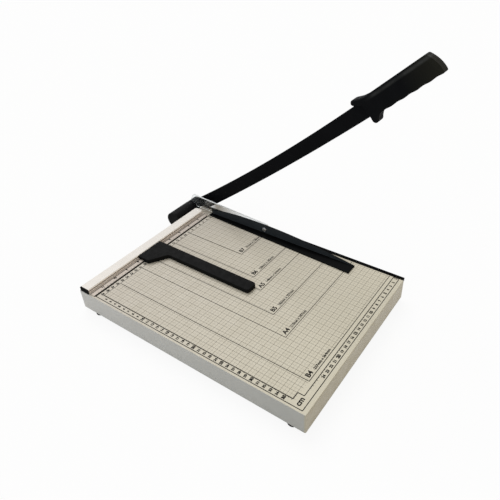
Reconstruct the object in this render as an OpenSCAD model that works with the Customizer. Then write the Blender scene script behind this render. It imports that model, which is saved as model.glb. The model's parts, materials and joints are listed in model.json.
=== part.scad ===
// Lever paper trimmer: a folded steel bed, a rear fence with a sliding paper stop,
// a paper clamp with a clear finger guard, and a sabre blade on a sprung pivot.
// The feet stand on Z = 0 and the origin lies under the middle of the whole part at rest.
// +X points to the cutting edge and +Y to the fence.

/* [Bed] */
// Width from the left side to the cutting edge
bed_w = 304; // [270:1:340]
// Depth from the front side to the rear side
bed_d = 421; // [395:1:450]
// Height of the folded sides
bed_h = 34.5; // [30:0.5:42]
// Thickness of the folded sheet
sheet_t = 1.2; // [0.8:0.1:2]
// Radius of the upright corners
corner_r = 2; // [1.5:0.25:12]
// Radius of the folded top edges
fold_r = 1.5; // [1:0.25:5]
// Width of the foot rails inside the left and right sides
foot_rail_w = 24; // [21:0.5:32]

/* [Feet] */
// Diameter of a rubber foot
foot_d = 17.5; // [12:0.5:18]
// Height of a rubber foot
foot_h = 5; // [3.5:0.25:7]
// Depth of the recess for the foot's screw head
foot_recess = 2.6; // [2.2:0.1:2.9]
// Distance of the feet from the left and right sides
foot_side = 0.4; // [0:0.1:5]
// Distance of the front feet from the front side
foot_front = 23.5; // [12:0.5:40]
// Distance of the rear feet from the rear side
foot_rear = 29.5; // [12:0.5:45]

/* [Fence] */
// Depth from the ruler edge to the back
fence_depth = 30.4; // [28:0.2:36]
// Height of the fence above the bed
fence_h = 8; // [7.4:0.2:12]
// Distance from the back of the fence to the rear side of the bed
fence_back_gap = 3; // [0.5:0.5:8]
// Distance from the right end to the cutting edge
fence_right_gap = 27.5; // [24:0.5:45]
// Width of the low ruler strip
ruler_w = 12.4; // [10.4:0.2:13]
// Height of the low ruler strip
ruler_h = 1.6; // [1:0.1:1.7]
// Size of the chamfers on the fence's long edges
fence_edge = 0.8; // [0.2:0.1:1]
// Radius of the fence's right corners seen from above
fence_end_r = 6; // [1:0.5:8]
// Height of the slot's middle above the bed
slot_z = 4.2; // [4.1:0.1:4.5]
// Height of the slot's mouth
slot_mouth_h = 3; // [2.4:0.1:3.2]
// Depth of the slot's mouth
slot_mouth_d = 2.2; // [1.6:0.1:2.6]
// Height of the slot behind its mouth
slot_inner_h = 4.8; // [4:0.1:5]
// Depth of the slot behind its mouth
slot_inner_d = 3; // [2.4:0.1:3.4]
// Width of the hollow in the fence
hollow_w = 5.5; // [4:0.5:6.5]
// Wall around the hollow
hollow_wall = 1.6; // [1.2:0.1:2]
// Thickness of the left end cap
fence_cap_t = 2; // [1.5:0.1:4]
// Length of the cap's plug in the hollow
fence_plug_l = 10; // [5:1:20]
// Distance of the left end cap from the left side of the bed
fence_left_gap = 0.6; // [0:0.1:5]
// Number of screws that hold the fence
fence_screw_n = 3; // [2:1:5]
// Distance of the outer fence screws from the fence's ends
fence_screw_in = 24; // [15:1:60]

/* [Paper stop] */
// Distance from the stop to the cutting edge
stop_at = 144.5; // [60:0.5:240]
// Width of the stop's arm
stop_arm_w = 21.8; // [16:0.2:30]
// Width of the stop's head along the fence
stop_head_w = 52; // [48:0.5:64]
// Length of the stop's arm in front of the ruler edge
stop_len = 199; // [150:1:240]
// Length of the stop's head in front of the ruler edge
stop_head_l = 14; // [8:0.5:20]
// Distance in front of the ruler edge at which the head has narrowed to the arm
stop_neck_l = 33; // [26:0.5:45]
// Height of the stop's top above the bed
stop_h = 7.5; // [6.6:0.1:7.5]
// Radius of the stop's free corners
stop_r = 5; // [2:0.5:8]
// Length of the runner
runner_l = 40; // [30:1:44]
// Depth of the runner's plate under the head
runner_plate_w = 8.4; // [7:0.2:9]
// Thickness of the runner's plate
runner_plate_t = 2.2; // [1.8:0.1:2.6]
// Thread length of the runner's screws in the stop
stop_thread = 2; // [1.5:0.1:2.2]
// Distance between the runner's screws
runner_screw_gap = 26; // [18:1:32]

/* [Fixed blade] */
// Width of the strip seen from above
strip_w = 7; // [5:0.25:9]
// Thickness of the strip
strip_t = 5; // [4:0.25:7]
// How far the strip stands above the bed
strip_proud = 0.4; // [0:0.05:0.6]
// Distance of the strip's ends from the front and rear sides
strip_end_gap = 1.5; // [0:0.5:6]
// Thickness of the web below the strip
web_t = 3; // [2.5:0.25:4]
// Depth of the web below the bed's top
web_h = 22; // [16:0.5:26]
// Distance of the web's ends from the front and rear sides
web_end_gap = 14; // [10:1:30]
// Number of screws in the web
web_screw_n = 5; // [3:1:8]
// Distance of the outer web screws from the web's ends
web_screw_in = 22; // [12:1:40]

/* [Pivot] */
// Outer radius of the barrel
barrel_r = 15.7; // [14:0.1:18]
// Bore radius of the barrel
barrel_bore_r = 12; // [11.5:0.1:12.6]
// Gap between the barrel and the rear side of the bed
barrel_gap = 1.9; // [1.5:0.1:5]
// Distance of the pivot axis below the bed's top
pivot_drop = 5.5; // [4:0.25:8]
// Distance from the barrel's left end to the cutting edge
barrel_left = 70; // [66:0.5:90]
// Distance from the barrel's right end to the cutting edge
barrel_right = 21; // [20.8:0.1:23]
// Thickness of the wall at the barrel's right end
barrel_wall = 8; // [6:0.5:10]
// Thickness of the barrel's end cap
barrel_cap_t = 2.5; // [1.5:0.25:4]
// Length of the end cap's plug
barrel_plug_l = 2.5; // [1.5:0.25:3]
// Depth of the saddle below the pivot axis
saddle_h = 22; // [20:0.5:24]
// Distance between the saddle's screws along the barrel
saddle_screw_x = 30; // [24:1:34]
// Distance between the saddle's screws upwards
saddle_screw_z = 10; // [8:0.5:11]
// Height of the lower saddle screws above the saddle's bottom
saddle_screw_low = 4.5; // [4:0.25:6]
// Thread length of the saddle's screws in the saddle
saddle_thread = 4; // [3:0.25:4.5]
// Thickness of the backing plate
backing_t = 2.5; // [1.5:0.25:4]
// Diameter of the pivot bolt
bolt_d = 10; // [8:0.5:11]
// Width of the bolt's head across flats
bolt_head_af = 16; // [14:0.5:19]
// Height of the bolt's head
bolt_head_h = 6; // [4:0.5:8]
// Outer diameter of the bushes
bush_d = 14; // [13:0.5:16]
// Diameter of the barrel bush's flange
bush_flange_d = 20; // [17:0.5:22]
// Thickness of the barrel bush's flange
bush_flange_t = 1.5; // [1:0.25:2]
// Width of the lock nut across flats
nut_af = 16; // [14:0.5:18]
// Height of the lock nut
nut_h = 8; // [6:0.5:9]
// Diameter of the washers on the bolt
washer_d = 20; // [17:0.5:22]
// Thickness of the washers on the bolt
washer_t = 1.8; // [1.2:0.1:2.5]
// Wire diameter of the pivot spring
spring_wire = 2.4; // [2:0.1:2.6]
// Mean radius of the pivot spring
spring_r = 8.2; // [7.8:0.1:9]
// Turns of the pivot spring
spring_turns = 5; // [3:0.5:5]

/* [Blade arm] */
// Thickness of the blade
arm_t = 4; // [3:0.25:6]
// Distance from the pivot to the grip's front end
arm_len = 436; // [420:1:470]
// Distance of the cutting edge below the pivot axis at the pivot
edge_root = 15.6; // [14:0.2:18]
// Distance of the cutting edge below the pivot axis at the grip
edge_drop = 16.6; // [14:0.2:18]
// How far the cutting edge bulges between its ends
edge_belly = 4.4; // [1:0.1:6]
// Distance of the back edge above the pivot axis at the pivot
back_root = 10.4; // [6:0.2:12]
// Distance of the back edge above the pivot axis at the grip
back_rise = 8.2; // [6:0.2:12]
// How far the back edge dips between its ends
back_dip = 6.5; // [2:0.1:9]
// Radius of the root around the pivot
root_r = 15.7; // [13:0.1:18]
// Width of the ground bevel along the cutting edge
bevel_w = 6; // [3:0.5:10]
// Thickness left at the cutting edge
edge_t = 0.8; // [0.4:0.1:1.5]
// Radius of the round hub beside the blade
hub_r = 15.5; // [11:0.5:16]
// Length of the tang inside the grip
tang_l = 84; // [76:1:92]
// Width of the tang
tang_w = 15; // [12:0.5:18]

/* [Grip] */
// Length of the grip from the hand guard to its end
grip_l = 112; // [100:1:130]
// Thickness of each half of the grip
grip_half_t = 10; // [8:0.25:13]
// Depth of the chamfered layer on each half
grip_edge = 2.5; // [1:0.25:3.5]
// Height of the grip's top above the pivot line at its front
grip_top_front = 12; // [10.6:0.2:15]
// Height of the grip's top above the pivot line at its end
grip_top_end = 17.2; // [14:0.2:20]
// Depth of the grip's underside below the pivot line at its front
grip_low_front = 18.4; // [15:0.2:20]
// Depth of the grip's underside below the pivot line at its end
grip_low_end = 13.8; // [12:0.2:18]
// How far the end leans back from top to bottom
grip_end_lean = 10; // [0:0.5:14]
// How far the end bulges
grip_bulge = 3; // [0:0.25:5]
// Number of finger grooves
finger_n = 5; // [3:1:6]
// Depth of the finger grooves
finger_d = 1.8; // [0.5:0.1:3]
// Radius of the thumb lobe
thumb_r = 4.6; // [3.5:0.1:7]
// Height of the thumb lobe's middle above the pivot line
thumb_rise = 11.8; // [9:0.2:13]
// How far the thumb lobe's middle stands ahead of the grip's front end
thumb_ahead = 7.6; // [2:0.1:9]
// Radius of the hand guard lobe
hand_guard_r = 5; // [3.5:0.1:7]
// Depth of the hand guard lobe's middle below the pivot line
hand_guard_drop = 23; // [20:0.5:26]
// Distance of the front grip screw from the grip's front end
grip_screw_at = 26; // [20:1:34]
// Thread length of the grip screws in the inner half
grip_thread = 6; // [4:0.25:7]
// Depth of the recesses for the grip's screw heads
grip_recess = 2.6; // [2.2:0.1:4]
// Distance between the grip screws
grip_screw_gap = 46; // [34:1:50]

/* [Clamp] */
// Distance of the clamp's upright from the cutting edge
clamp_in = 16.7; // [16.5:0.1:18.5]
// Width of the clamp's foot at its front end
clamp_foot_w = 22.2; // [18:0.2:26]
// Width of the clamp's foot at its rear end
clamp_foot_rear_w = 10.2; // [6:0.2:26]
// Thickness of the clamp's foot
clamp_foot_t = 1.6; // [1.2:0.1:2.5]
// Thickness of the clamp's upright
clamp_flange_t = 2; // [1.5:0.1:2.4]
// Distance of the front end from the fence's ruler edge
clamp_front = 306; // [280:1:330]
// Distance of the foot's rear end from the fence's ruler edge
clamp_rear = 3; // [1:0.5:8]
// Height of the upright's arch above the bed
clamp_arch_h = 18.6; // [14:0.2:22]
// Place of the arch's highest point, as a share of the clamp's length from its rear end
clamp_peak = 0.44; // [0.36:0.01:0.5]
// Height of the upright at its rear end
clamp_rear_h = 8.4; // [7:0.2:12]
// Height of the upright at its front end
clamp_front_h = 2.2; // [2:0.1:5]
// Radius of the collar on the clamp's bush
collar_r = 15.5; // [13:0.5:16]

/* [Clear guard] */
// Thickness of the guard
guard_t = 3; // [2:0.1:4]
// Distance of the front end in front of the fence's ruler edge
guard_front = 131; // [120:1:160]
// Distance of the upper rear corner behind the fence's ruler edge
guard_rear = 45.5; // [36:0.5:48]
// Height of the guard's top at its front end
guard_front_h = 18.5; // [17:0.5:22]
// Height of the guard's top at its rear end
guard_rear_h = 27; // [20:0.5:30]
// Height of the guard's lower edge above the bed
guard_low = 3; // [2:0.25:5]
// Radius of the guard's eye around the bush
guard_eye_r = 11; // [10:0.5:13]
// Radius of the guard's free corners
guard_r = 3; // [1:0.5:5]
// Distance of the guard's screw in front of the fence's ruler edge
guard_screw_at = 126; // [110:1:150]
// Height of the guard's screw above the bed
guard_screw_h = 8.4; // [7:0.2:11]
// Distance of the welded stud in front of the fence's ruler edge
guard_stud_at = 60; // [40:1:90]
// Height of the welded stud above the bed
guard_stud_h = 8.4; // [7.6:0.2:10]

/* [Fasteners] */
// Diameter of the larger screws
screw_d = 3.5; // [3:0.1:4.4]
// Diameter of the guard's screw and of the welded stud
guard_screw_d = 4; // [3:0.1:5]
// Diameter of the foot screws
foot_screw_d = 3.2; // [2.5:0.1:3.4]
// Diameter of the stop's screws
stop_screw_d = 2.2; // [1.8:0.1:2.6]

/* [Clearances] */
// Clearance between pieces that move past each other
move_gap = 0.3; // [0.2:0.05:0.35]
// Radial clearance of the bolt in its bushes
run_fit = 0.05; // [0.02:0.01:0.08]
// Clearance of pieces that are fitted once
fit_gap = 0.1; // [0.05:0.01:0.15]

/* [Rest pose] */
// Angle of the arm above the bed
arm_open = 38.3; // [2.5:0.1:80]

/* [Hidden] */
$fn = 48;
arc_n = 8;
curve_n = 20;
wave_n = 8;
ring_n = 8;
side_n = 6;
over = 1;

// Screw heads, as shares of the screw's diameter
head_w = 2;
head_top = 1.7;
head_h = 0.55;
head_slot = 0.25;
guard_nut_h = 0.8 * guard_screw_d;
foot_taper = 0.96;

// Middle of the whole part at rest, seen from the middle of the bed's footprint
centre_x = (move_gap + arm_t / 2 + grip_half_t) / 2;
grip_reach = (arm_len + grip_l + grip_end_lean) * cos(arm_open) + grip_low_end * sin(arm_open);
centre_y = bed_d / 2 + barrel_gap + barrel_r + (barrel_r - grip_reach) / 2;

// Main planes and lines
top_z = foot_h + bed_h;
cut_x = bed_w / 2 - centre_x;
bed_left = -bed_w / 2 - centre_x;
bed_right = cut_x - strip_w;
bed_front = -bed_d / 2 - centre_y;
bed_rear = bed_d / 2 - centre_y;
fence_y = bed_rear - fence_back_gap - fence_depth;
pivot_y = bed_rear + barrel_gap + barrel_r;
pivot_z = top_z - pivot_drop;

// Fence
fence_x0 = bed_left + fence_left_gap;
rail_x0 = fence_x0 + fence_cap_t;
rail_x1 = cut_x - fence_right_gap;
slot_y0 = ruler_w + slot_mouth_d;
slot_y1 = slot_y0 + slot_inner_d;
hollow_y1 = fence_depth - hollow_wall;
hollow_y0 = hollow_y1 - hollow_w;
fence_screw_y = fence_y + (slot_y1 + hollow_y0) / 2;
fence_screw_l = sheet_t + fence_h / 2;
fence_screw_step = (rail_x1 - rail_x0 - 2 * fence_screw_in) / (fence_screw_n - 1);
fence_screw_xs = [for (i = [0 : fence_screw_n - 1]) rail_x0 + fence_screw_in + i * fence_screw_step];

// Fixed blade
web_l = bed_d - 2 * web_end_gap;
web_screw_step = (web_l - 2 * web_screw_in) / (web_screw_n - 1);
web_screw_y0 = bed_front + web_end_gap + web_screw_in;
web_screw_ys = [for (i = [0 : web_screw_n - 1]) web_screw_y0 + i * web_screw_step];
web_screw_z = top_z - (strip_t - strip_proud + web_h) / 2;

// Pivot stack, from left to right
barrel_x0 = cut_x - barrel_left;
tube_x0 = barrel_x0 + barrel_cap_t;
barrel_x1 = cut_x - barrel_right;
bore_x1 = barrel_x1 - barrel_wall;
bush_x0 = bore_x1 - bush_flange_t;
nut_x0 = tube_x0 + barrel_plug_l + over;
thrust_x0 = nut_x0 + nut_h;
spring_x0 = thrust_x0 + washer_t;
spring_x1 = bush_x0 - move_gap;
flange_x1 = cut_x - clamp_in;
flange_x0 = flange_x1 - clamp_flange_t;
collar_x0 = barrel_x1 + move_gap;
guard_x1 = flange_x1 + guard_t;
hub_x0 = guard_x1 + move_gap;
arm_x0 = cut_x + move_gap;
arm_x1 = arm_x0 + arm_t;
saddle_z0 = pivot_z - saddle_h;
saddle_x_mid = (tube_x0 + barrel_x1) / 2;
backing_y = bed_rear - sheet_t - backing_t;
guard_screw_place = [guard_screw_at, guard_screw_h];
guard_stud_place = [guard_stud_at, guard_stud_h];
saddle_screw_places = [for (sx = [-1, 1], row = [0, 1])
    [saddle_x_mid + sx * saddle_screw_x / 2, saddle_z0 + saddle_screw_low + row * saddle_screw_z]];

// Grip
grip_x_mid = arm_x0 + arm_t / 2;
grip_s0 = arm_len + thumb_r;
grip_s1 = arm_len + grip_l;
grip_screw_ss = [arm_len + grip_screw_at, arm_len + grip_screw_at + grip_screw_gap];
tang_mid = (back_rise - edge_drop) / 2;
thumb_s = arm_len - thumb_ahead;

// Paper stop
stop_x1 = cut_x - stop_at;
stop_x0 = stop_x1 - stop_head_w;
stop_arm_x0 = stop_x1 - stop_arm_w;
stop_back = fence_y + ruler_w - move_gap;
stop_low = top_z + ruler_h + 2 * move_gap;
runner_x0 = (stop_x0 + stop_x1 - runner_l) / 2;
runner_front = stop_back - runner_plate_w;
runner_screw_xs = [for (sx = [-1, 1]) runner_x0 + runner_l / 2 + sx * runner_screw_gap / 2];

// Points on an arc from angle a0 to a1
function arc_pts(c, r, a0, a1) =
    [for (i = [0 : arc_n]) c + r * [cos(a0 + (a1 - a0) * i / arc_n), sin(a0 + (a1 - a0) * i / arc_n)]];

// Height of a shallow bow of the given depth over a chord, for t from 0 to 1
function bow(depth, t) = 4 * depth * t * (1 - t);

// Solids drawn as a (Y, Z) section and extruded along X
module along_x(x0, len) {
    translate([x0, 0, 0]) rotate([90, 0, 90]) linear_extrude(len) children();
}

// Solids drawn as an (X, Z) section and extruded along Y
module along_y(y0, len) {
    translate([0, y0 + len, 0]) rotate([90, 0, 0]) linear_extrude(len) children();
}

// Cylinder and bore along X on the pivot axis
module on_pivot(x0, len, r) {
    translate([x0, pivot_y, pivot_z]) rotate([0, 90, 0]) cylinder(r = r, h = len);
}

// Hexagon along X on the pivot axis, by its width across flats
module hex_on_pivot(x0, len, flats) {
    translate([x0, pivot_y, pivot_z]) rotate([0, 90, 0]) cylinder(d = flats / cos(30), h = len, $fn = 6);
}

// Moves the arm's own frame to the pivot, at the rest angle. The arm points along -Y there.
module arm_pose() {
    translate([0, pivot_y, pivot_z]) rotate([-arm_open, 0, 0]) children();
}

// Outline in the arm's frame: distance from the pivot, and height above the pivot line
module arm_plate(x0, len) {
    along_x(x0, len) mirror([1, 0]) children();
}

// Screw along +Z with its head below Z = 0
module pan_screw(d, len) {
    h = head_h * d;
    slot = head_slot * d;
    difference() {
        union() {
            cylinder(d = d, h = len);
            translate([0, 0, -h]) cylinder(d1 = head_top * d, d2 = head_w * d, h = h);
        }
        translate([-d, -slot / 2, -h - over]) cube([2 * d, slot, over + slot]);
    }
}

// Through hole along +Z for a screw of diameter d, past both faces of a wall
module screw_hole(d, wall) {
    translate([0, 0, -over]) cylinder(d = d + 2 * fit_gap, h = wall + 2 * over);
}

// Blind hole along +Z for a screw of diameter d, open below
module blind_hole(d, depth) {
    translate([0, 0, -over]) cylinder(d = d + 2 * fit_gap, h = over + depth);
}

// Recess along +Z for the head of a screw of diameter d, open below
module head_recess(d, depth) {
    translate([0, 0, -over]) cylinder(d = head_w * d + 4 * fit_gap, h = over + depth);
}

module bed_plan(inset) {
    r = max(corner_r - inset, inset);
    polygon(concat(
        arc_pts([bed_left + inset + r, bed_front + inset + r], r, 180, 270),
        [[bed_right - inset, bed_front + inset], [bed_right - inset, bed_rear - inset]],
        arc_pts([bed_left + inset + r, bed_rear - inset - r], r, 90, 180)));
}

// Solid block of the bed, drawn in by an inset, with its front, rear and left top edges rounded
module bed_block(inset, z0) {
    z1 = top_z - inset;
    r = max(fold_r - inset, inset);
    intersection() {
        translate([0, 0, z0]) linear_extrude(z1 - z0) bed_plan(inset);
        along_y(bed_front, bed_d) polygon(concat(
            [[bed_left + inset, z0], [bed_right, z0], [bed_right, z1]],
            arc_pts([bed_left + inset + r, z1 - r], r, 90, 180)));
        along_x(bed_left, bed_w) polygon(concat(
            [[bed_front + inset, z0], [bed_rear - inset, z0]],
            arc_pts([bed_rear - inset - r, z1 - r], r, 0, 90),
            arc_pts([bed_front + inset + r, z1 - r], r, 90, 180)));
    }
}

module at_feet() {
    side = foot_side + foot_d / 2;
    xs = [bed_left + side, bed_right - side];
    ys = [bed_front + foot_front, bed_rear - foot_rear];
    for (x = xs, y = ys) translate([x, y, 0]) children();
}

module at_fence_screws() {
    for (x = fence_screw_xs) translate([x, fence_screw_y, top_z - sheet_t]) children();
}

module at_web_screws() {
    for (y = web_screw_ys) translate([bed_right - sheet_t, y, web_screw_z]) rotate([0, 90, 0]) children();
}

module at_saddle_screws(y) {
    for (p = saddle_screw_places) translate([p[0], y, p[1]]) rotate([-90, 0, 0]) children();
}

module bed_tray() {
    color([0.80, 0.77, 0.69])
    difference() {
        bed_block(0, foot_h);
        bed_block(sheet_t, foot_h - over);
        at_fence_screws() screw_hole(screw_d, sheet_t);
        at_web_screws() screw_hole(screw_d, sheet_t);
        at_saddle_screws(bed_rear - sheet_t) screw_hole(screw_d, sheet_t);
    }
}

module foot_rails() {
    rail_in = max(corner_r, 2 * sheet_t);
    rail_l = bed_d - 2 * rail_in;
    color([0.80, 0.77, 0.69])
    difference() {
        for (x = [bed_left + sheet_t, bed_right - sheet_t - foot_rail_w])
            translate([x, bed_front + rail_in, foot_h]) cube([foot_rail_w, rail_l, sheet_t]);
        at_feet() screw_hole(foot_screw_d, foot_h + sheet_t);
    }
}

module rubber_feet() {
    color([0.06, 0.06, 0.06])
    at_feet() difference() {
        cylinder(d1 = foot_taper * foot_d, d2 = foot_d, h = foot_h);
        head_recess(foot_screw_d, foot_recess);
        screw_hole(foot_screw_d, foot_h);
    }
}

module foot_screws() {
    color([0.7, 0.7, 0.72])
    at_feet() translate([0, 0, foot_recess]) pan_screw(foot_screw_d, foot_h - foot_recess + 2 * sheet_t);
}

module fence_section() {
    polygon([[0, 0], [0, ruler_h - fence_edge / 2], [fence_edge, ruler_h], [ruler_w, ruler_h],
        [ruler_w, slot_z - slot_mouth_h / 2], [slot_y0, slot_z - slot_mouth_h / 2],
        [slot_y0, slot_z - slot_inner_h / 2], [slot_y1, slot_z - slot_inner_h / 2],
        [slot_y1, slot_z + slot_inner_h / 2], [slot_y0, slot_z + slot_inner_h / 2],
        [slot_y0, slot_z + slot_mouth_h / 2], [ruler_w, slot_z + slot_mouth_h / 2],
        [ruler_w, fence_h - fence_edge], [ruler_w + fence_edge, fence_h],
        [fence_depth - fence_edge, fence_h], [fence_depth, fence_h - fence_edge], [fence_depth, 0]]);
}

module fence_hollow(gap) {
    translate([hollow_y0 + gap, hollow_wall + gap])
        square([hollow_w - 2 * gap, fence_h - 2 * hollow_wall - 2 * gap]);
}

// The fence's plan, with its right corners rounded
module fence_plan() {
    polygon(concat(
        [[rail_x0, fence_y]],
        arc_pts([rail_x1 - fence_end_r, fence_y + fence_end_r], fence_end_r, 270, 360),
        arc_pts([rail_x1 - fence_end_r, fence_y + fence_depth - fence_end_r], fence_end_r, 0, 90),
        [[rail_x0, fence_y + fence_depth]]));
}

// Piece cut from the front right corner of the raised part
module fence_corner() {
    y = fence_y + ruler_w;
    polygon(concat(
        [[rail_x1 + over, y - over], [rail_x1 - fence_end_r, y - over]],
        arc_pts([rail_x1 - fence_end_r, y + fence_end_r], fence_end_r, 270, 360),
        [[rail_x1 + over, y + fence_end_r]]));
}

module fence_rail() {
    color([0.93, 0.92, 0.90])
    difference() {
        intersection() {
            translate([0, fence_y, top_z]) along_x(rail_x0, rail_x1 - rail_x0) difference() {
                fence_section();
                fence_hollow(0);
            }
            translate([0, 0, top_z]) linear_extrude(fence_h) fence_plan();
        }
        translate([0, 0, top_z + ruler_h]) linear_extrude(fence_h) fence_corner();
        at_fence_screws() blind_hole(screw_d, fence_screw_l + fit_gap);
    }
}

module fence_end_cap() {
    color([0.05, 0.05, 0.05])
    translate([0, fence_y, top_z]) {
        along_x(fence_x0, fence_cap_t) polygon([[ruler_w, 0], [ruler_w, fence_h - fence_edge],
            [ruler_w + fence_edge, fence_h], [fence_depth - fence_edge, fence_h],
            [fence_depth, fence_h - fence_edge], [fence_depth, 0]]);
        along_x(fence_x0, fence_cap_t + fence_plug_l) fence_hollow(fit_gap);
    }
}

module fence_screws() {
    color([0.7, 0.7, 0.72])
    at_fence_screws() pan_screw(screw_d, fence_screw_l);
}

module fixed_blade() {
    color([0.07, 0.07, 0.08])
    difference() {
        union() {
            translate([bed_right, bed_front + strip_end_gap, top_z + strip_proud - strip_t])
                cube([strip_w, bed_d - 2 * strip_end_gap, strip_t]);
            translate([bed_right, bed_front + web_end_gap, top_z - web_h]) cube([web_t, web_l, web_h]);
        }
        at_web_screws() blind_hole(screw_d, sheet_t + strip_w);
    }
}

module fixed_blade_screws() {
    color([0.7, 0.7, 0.72])
    at_web_screws() pan_screw(screw_d, sheet_t + web_t);
}

module pivot_barrel() {
    color([0.06, 0.06, 0.065])
    difference() {
        union() {
            on_pivot(tube_x0, barrel_x1 - tube_x0, barrel_r);
            translate([tube_x0, bed_rear, saddle_z0])
                cube([barrel_x1 - tube_x0, barrel_gap + barrel_r, saddle_h]);
        }
        on_pivot(tube_x0 - over, bore_x1 - tube_x0 + over, barrel_bore_r);
        on_pivot(bore_x1 - over, barrel_wall + 2 * over, bush_d / 2 + fit_gap);
        at_saddle_screws(bed_rear) blind_hole(screw_d, saddle_thread + fit_gap);
    }
}

module barrel_end_cap() {
    color([0.06, 0.06, 0.065])
    union() {
        on_pivot(barrel_x0, barrel_cap_t, barrel_r);
        on_pivot(barrel_x0, barrel_cap_t + barrel_plug_l, barrel_bore_r - fit_gap);
    }
}

module barrel_bush() {
    color([0.72, 0.53, 0.26])
    difference() {
        union() {
            on_pivot(bush_x0, bush_flange_t, bush_flange_d / 2);
            on_pivot(bush_x0, barrel_x1 - bush_x0, bush_d / 2);
        }
        on_pivot(bush_x0 - over, barrel_x1 - bush_x0 + 2 * over, bolt_d / 2 + run_fit);
    }
}

module backing_plate() {
    color([0.6, 0.6, 0.62])
    difference() {
        translate([tube_x0, backing_y, saddle_z0])
            cube([barrel_x1 - tube_x0, backing_t, 2 * saddle_screw_low + saddle_screw_z]);
        at_saddle_screws(backing_y) screw_hole(screw_d, backing_t);
    }
}

module barrel_screws() {
    color([0.7, 0.7, 0.72])
    at_saddle_screws(backing_y) pan_screw(screw_d, backing_t + sheet_t + saddle_thread);
}

function edge_at(t) = -edge_root + (edge_root - edge_drop) * t - bow(edge_belly, t);
function back_at(t) = back_root + (back_rise - back_root) * t - bow(back_dip, t);

// Screw places in the arm's frame, pointing inwards from the outer side
module at_grip_screws(x) {
    for (s = grip_screw_ss) translate([x, -s, tang_mid]) rotate([0, -90, 0]) children();
}

// The blade's outline without its tang
module blade_outline() {
    circle(r = root_r);
    polygon(concat(
        [for (i = [0 : curve_n]) [arm_len * i / curve_n, edge_at(i / curve_n)]],
        [for (i = [curve_n : -1 : 0]) [arm_len * i / curve_n, back_at(i / curve_n)]]));
}

module tang_outline(gap) {
    translate([arm_len - over, tang_mid - tang_w / 2 - gap])
        square([tang_l + over + gap, tang_w + 2 * gap]);
}

// One flat of the ground bevel, between two stations of the cutting edge
module bevel_flat(t0, t1) {
    p0 = [arm_len * t0, edge_at(t0)];
    p1 = [arm_len * t1, edge_at(t1)];
    lean = atan2(p1[1] - p0[1], p1[0] - p0[0]);
    translate([0, -p0[0], p0[1]]) rotate([-lean, 0, 0])
        translate([arm_x0 + edge_t, -norm(p1 - p0) - over, 0])
        rotate([0, atan2(arm_t - edge_t, bevel_w), 0])
        translate([0, 0, -2 * bevel_w]) cube([2 * bevel_w, norm(p1 - p0) + 2 * over, 4 * bevel_w]);
}

module blade_arm() {
    color([0.07, 0.07, 0.08])
    arm_pose() difference() {
        arm_plate(arm_x0, arm_t) {
            blade_outline();
            tang_outline(0);
        }
        for (i = [1 : curve_n - 1]) bevel_flat(i / curve_n, (i + 1) / curve_n);
        translate([arm_x0 - over, -bolt_d / 2 - fit_gap, -bolt_d / 2 - fit_gap])
            cube([arm_t + 2 * over, bolt_d + 2 * fit_gap, bolt_d + 2 * fit_gap]);
        at_grip_screws(arm_x1) screw_hole(screw_d, arm_t);
    }
}

module arm_hub() {
    color([0.07, 0.07, 0.08])
    difference() {
        on_pivot(hub_x0, arm_x0 - hub_x0, hub_r);
        on_pivot(hub_x0 - over, arm_x0 - hub_x0 + 2 * over, bolt_d / 2 + fit_gap);
    }
}

module pivot_bolt() {
    color([0.68, 0.68, 0.70])
    union() {
        on_pivot(nut_x0, arm_x0 - nut_x0, bolt_d / 2);
        arm_pose() translate([arm_x0, -bolt_d / 2, -bolt_d / 2]) cube([arm_t, bolt_d, bolt_d]);
        on_pivot(arm_x0, arm_t + washer_t, bolt_d / 2);
        hex_on_pivot(arm_x1 + washer_t, bolt_head_h, bolt_head_af);
    }
}

module head_washer() {
    color([0.7, 0.7, 0.72])
    difference() {
        on_pivot(arm_x1, washer_t, washer_d / 2);
        on_pivot(arm_x1 - over, washer_t + 2 * over, bolt_d / 2 + fit_gap);
    }
}

module thrust_washer() {
    color([0.7, 0.7, 0.72])
    difference() {
        on_pivot(thrust_x0, washer_t, washer_d / 2);
        on_pivot(thrust_x0 - over, washer_t + 2 * over, bolt_d / 2 + fit_gap);
    }
}

module lock_nut() {
    color([0.7, 0.7, 0.72])
    difference() {
        hex_on_pivot(nut_x0, nut_h, nut_af);
        on_pivot(nut_x0 - over, nut_h + 2 * over, bolt_d / 2 + fit_gap);
    }
}

// Pivot spring: one tube along a helix around the pivot axis
spring_rings = round(spring_turns * ring_n);
spring_rise = spring_x1 - spring_x0 - spring_wire;
function spring_mid(i) = [spring_x0 + spring_wire / 2 + spring_rise * i / spring_rings,
    pivot_y + spring_r * cos(360 * i / ring_n), pivot_z + spring_r * sin(360 * i / ring_n)];
function spring_pt(i, k) = spring_mid(i) + spring_wire / 2 * (cos(360 * k / side_n) * [1, 0, 0]
    + sin(360 * k / side_n) * [0, cos(360 * i / ring_n), sin(360 * i / ring_n)]);
spring_steps = [for (i = [0 : spring_rings - ring_n]) norm(spring_mid(i + ring_n) - spring_mid(i))];
spring_self_gap = min(spring_steps) - spring_wire;
echo(spring_self_gap = spring_self_gap);

module pivot_spring() {
    pts = [for (i = [0 : spring_rings], k = [0 : side_n - 1]) spring_pt(i, k)];
    last = spring_rings * side_n;
    walls = [for (i = [0 : spring_rings - 1], k = [0 : side_n - 1], half = [0, 1])
        let (a = i * side_n + k, b = i * side_n + (k + 1) % side_n)
        half == 0 ? [a, b, a + side_n] : [b, b + side_n, a + side_n]];
    ends = [for (k = [1 : side_n - 2], half = [0, 1])
        half == 0 ? [0, k + 1, k] : [last, last + k, last + k + 1]];
    color([0.62, 0.62, 0.64]) polyhedron(pts, concat(walls, ends));
}

function grip_low_at(t) = -grip_low_front + (grip_low_front - grip_low_end) * t;
function groove_at(t) = grip_low_at(t) + finger_d / 2 * (1 - cos(360 * finger_n * t)) / 2;

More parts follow.
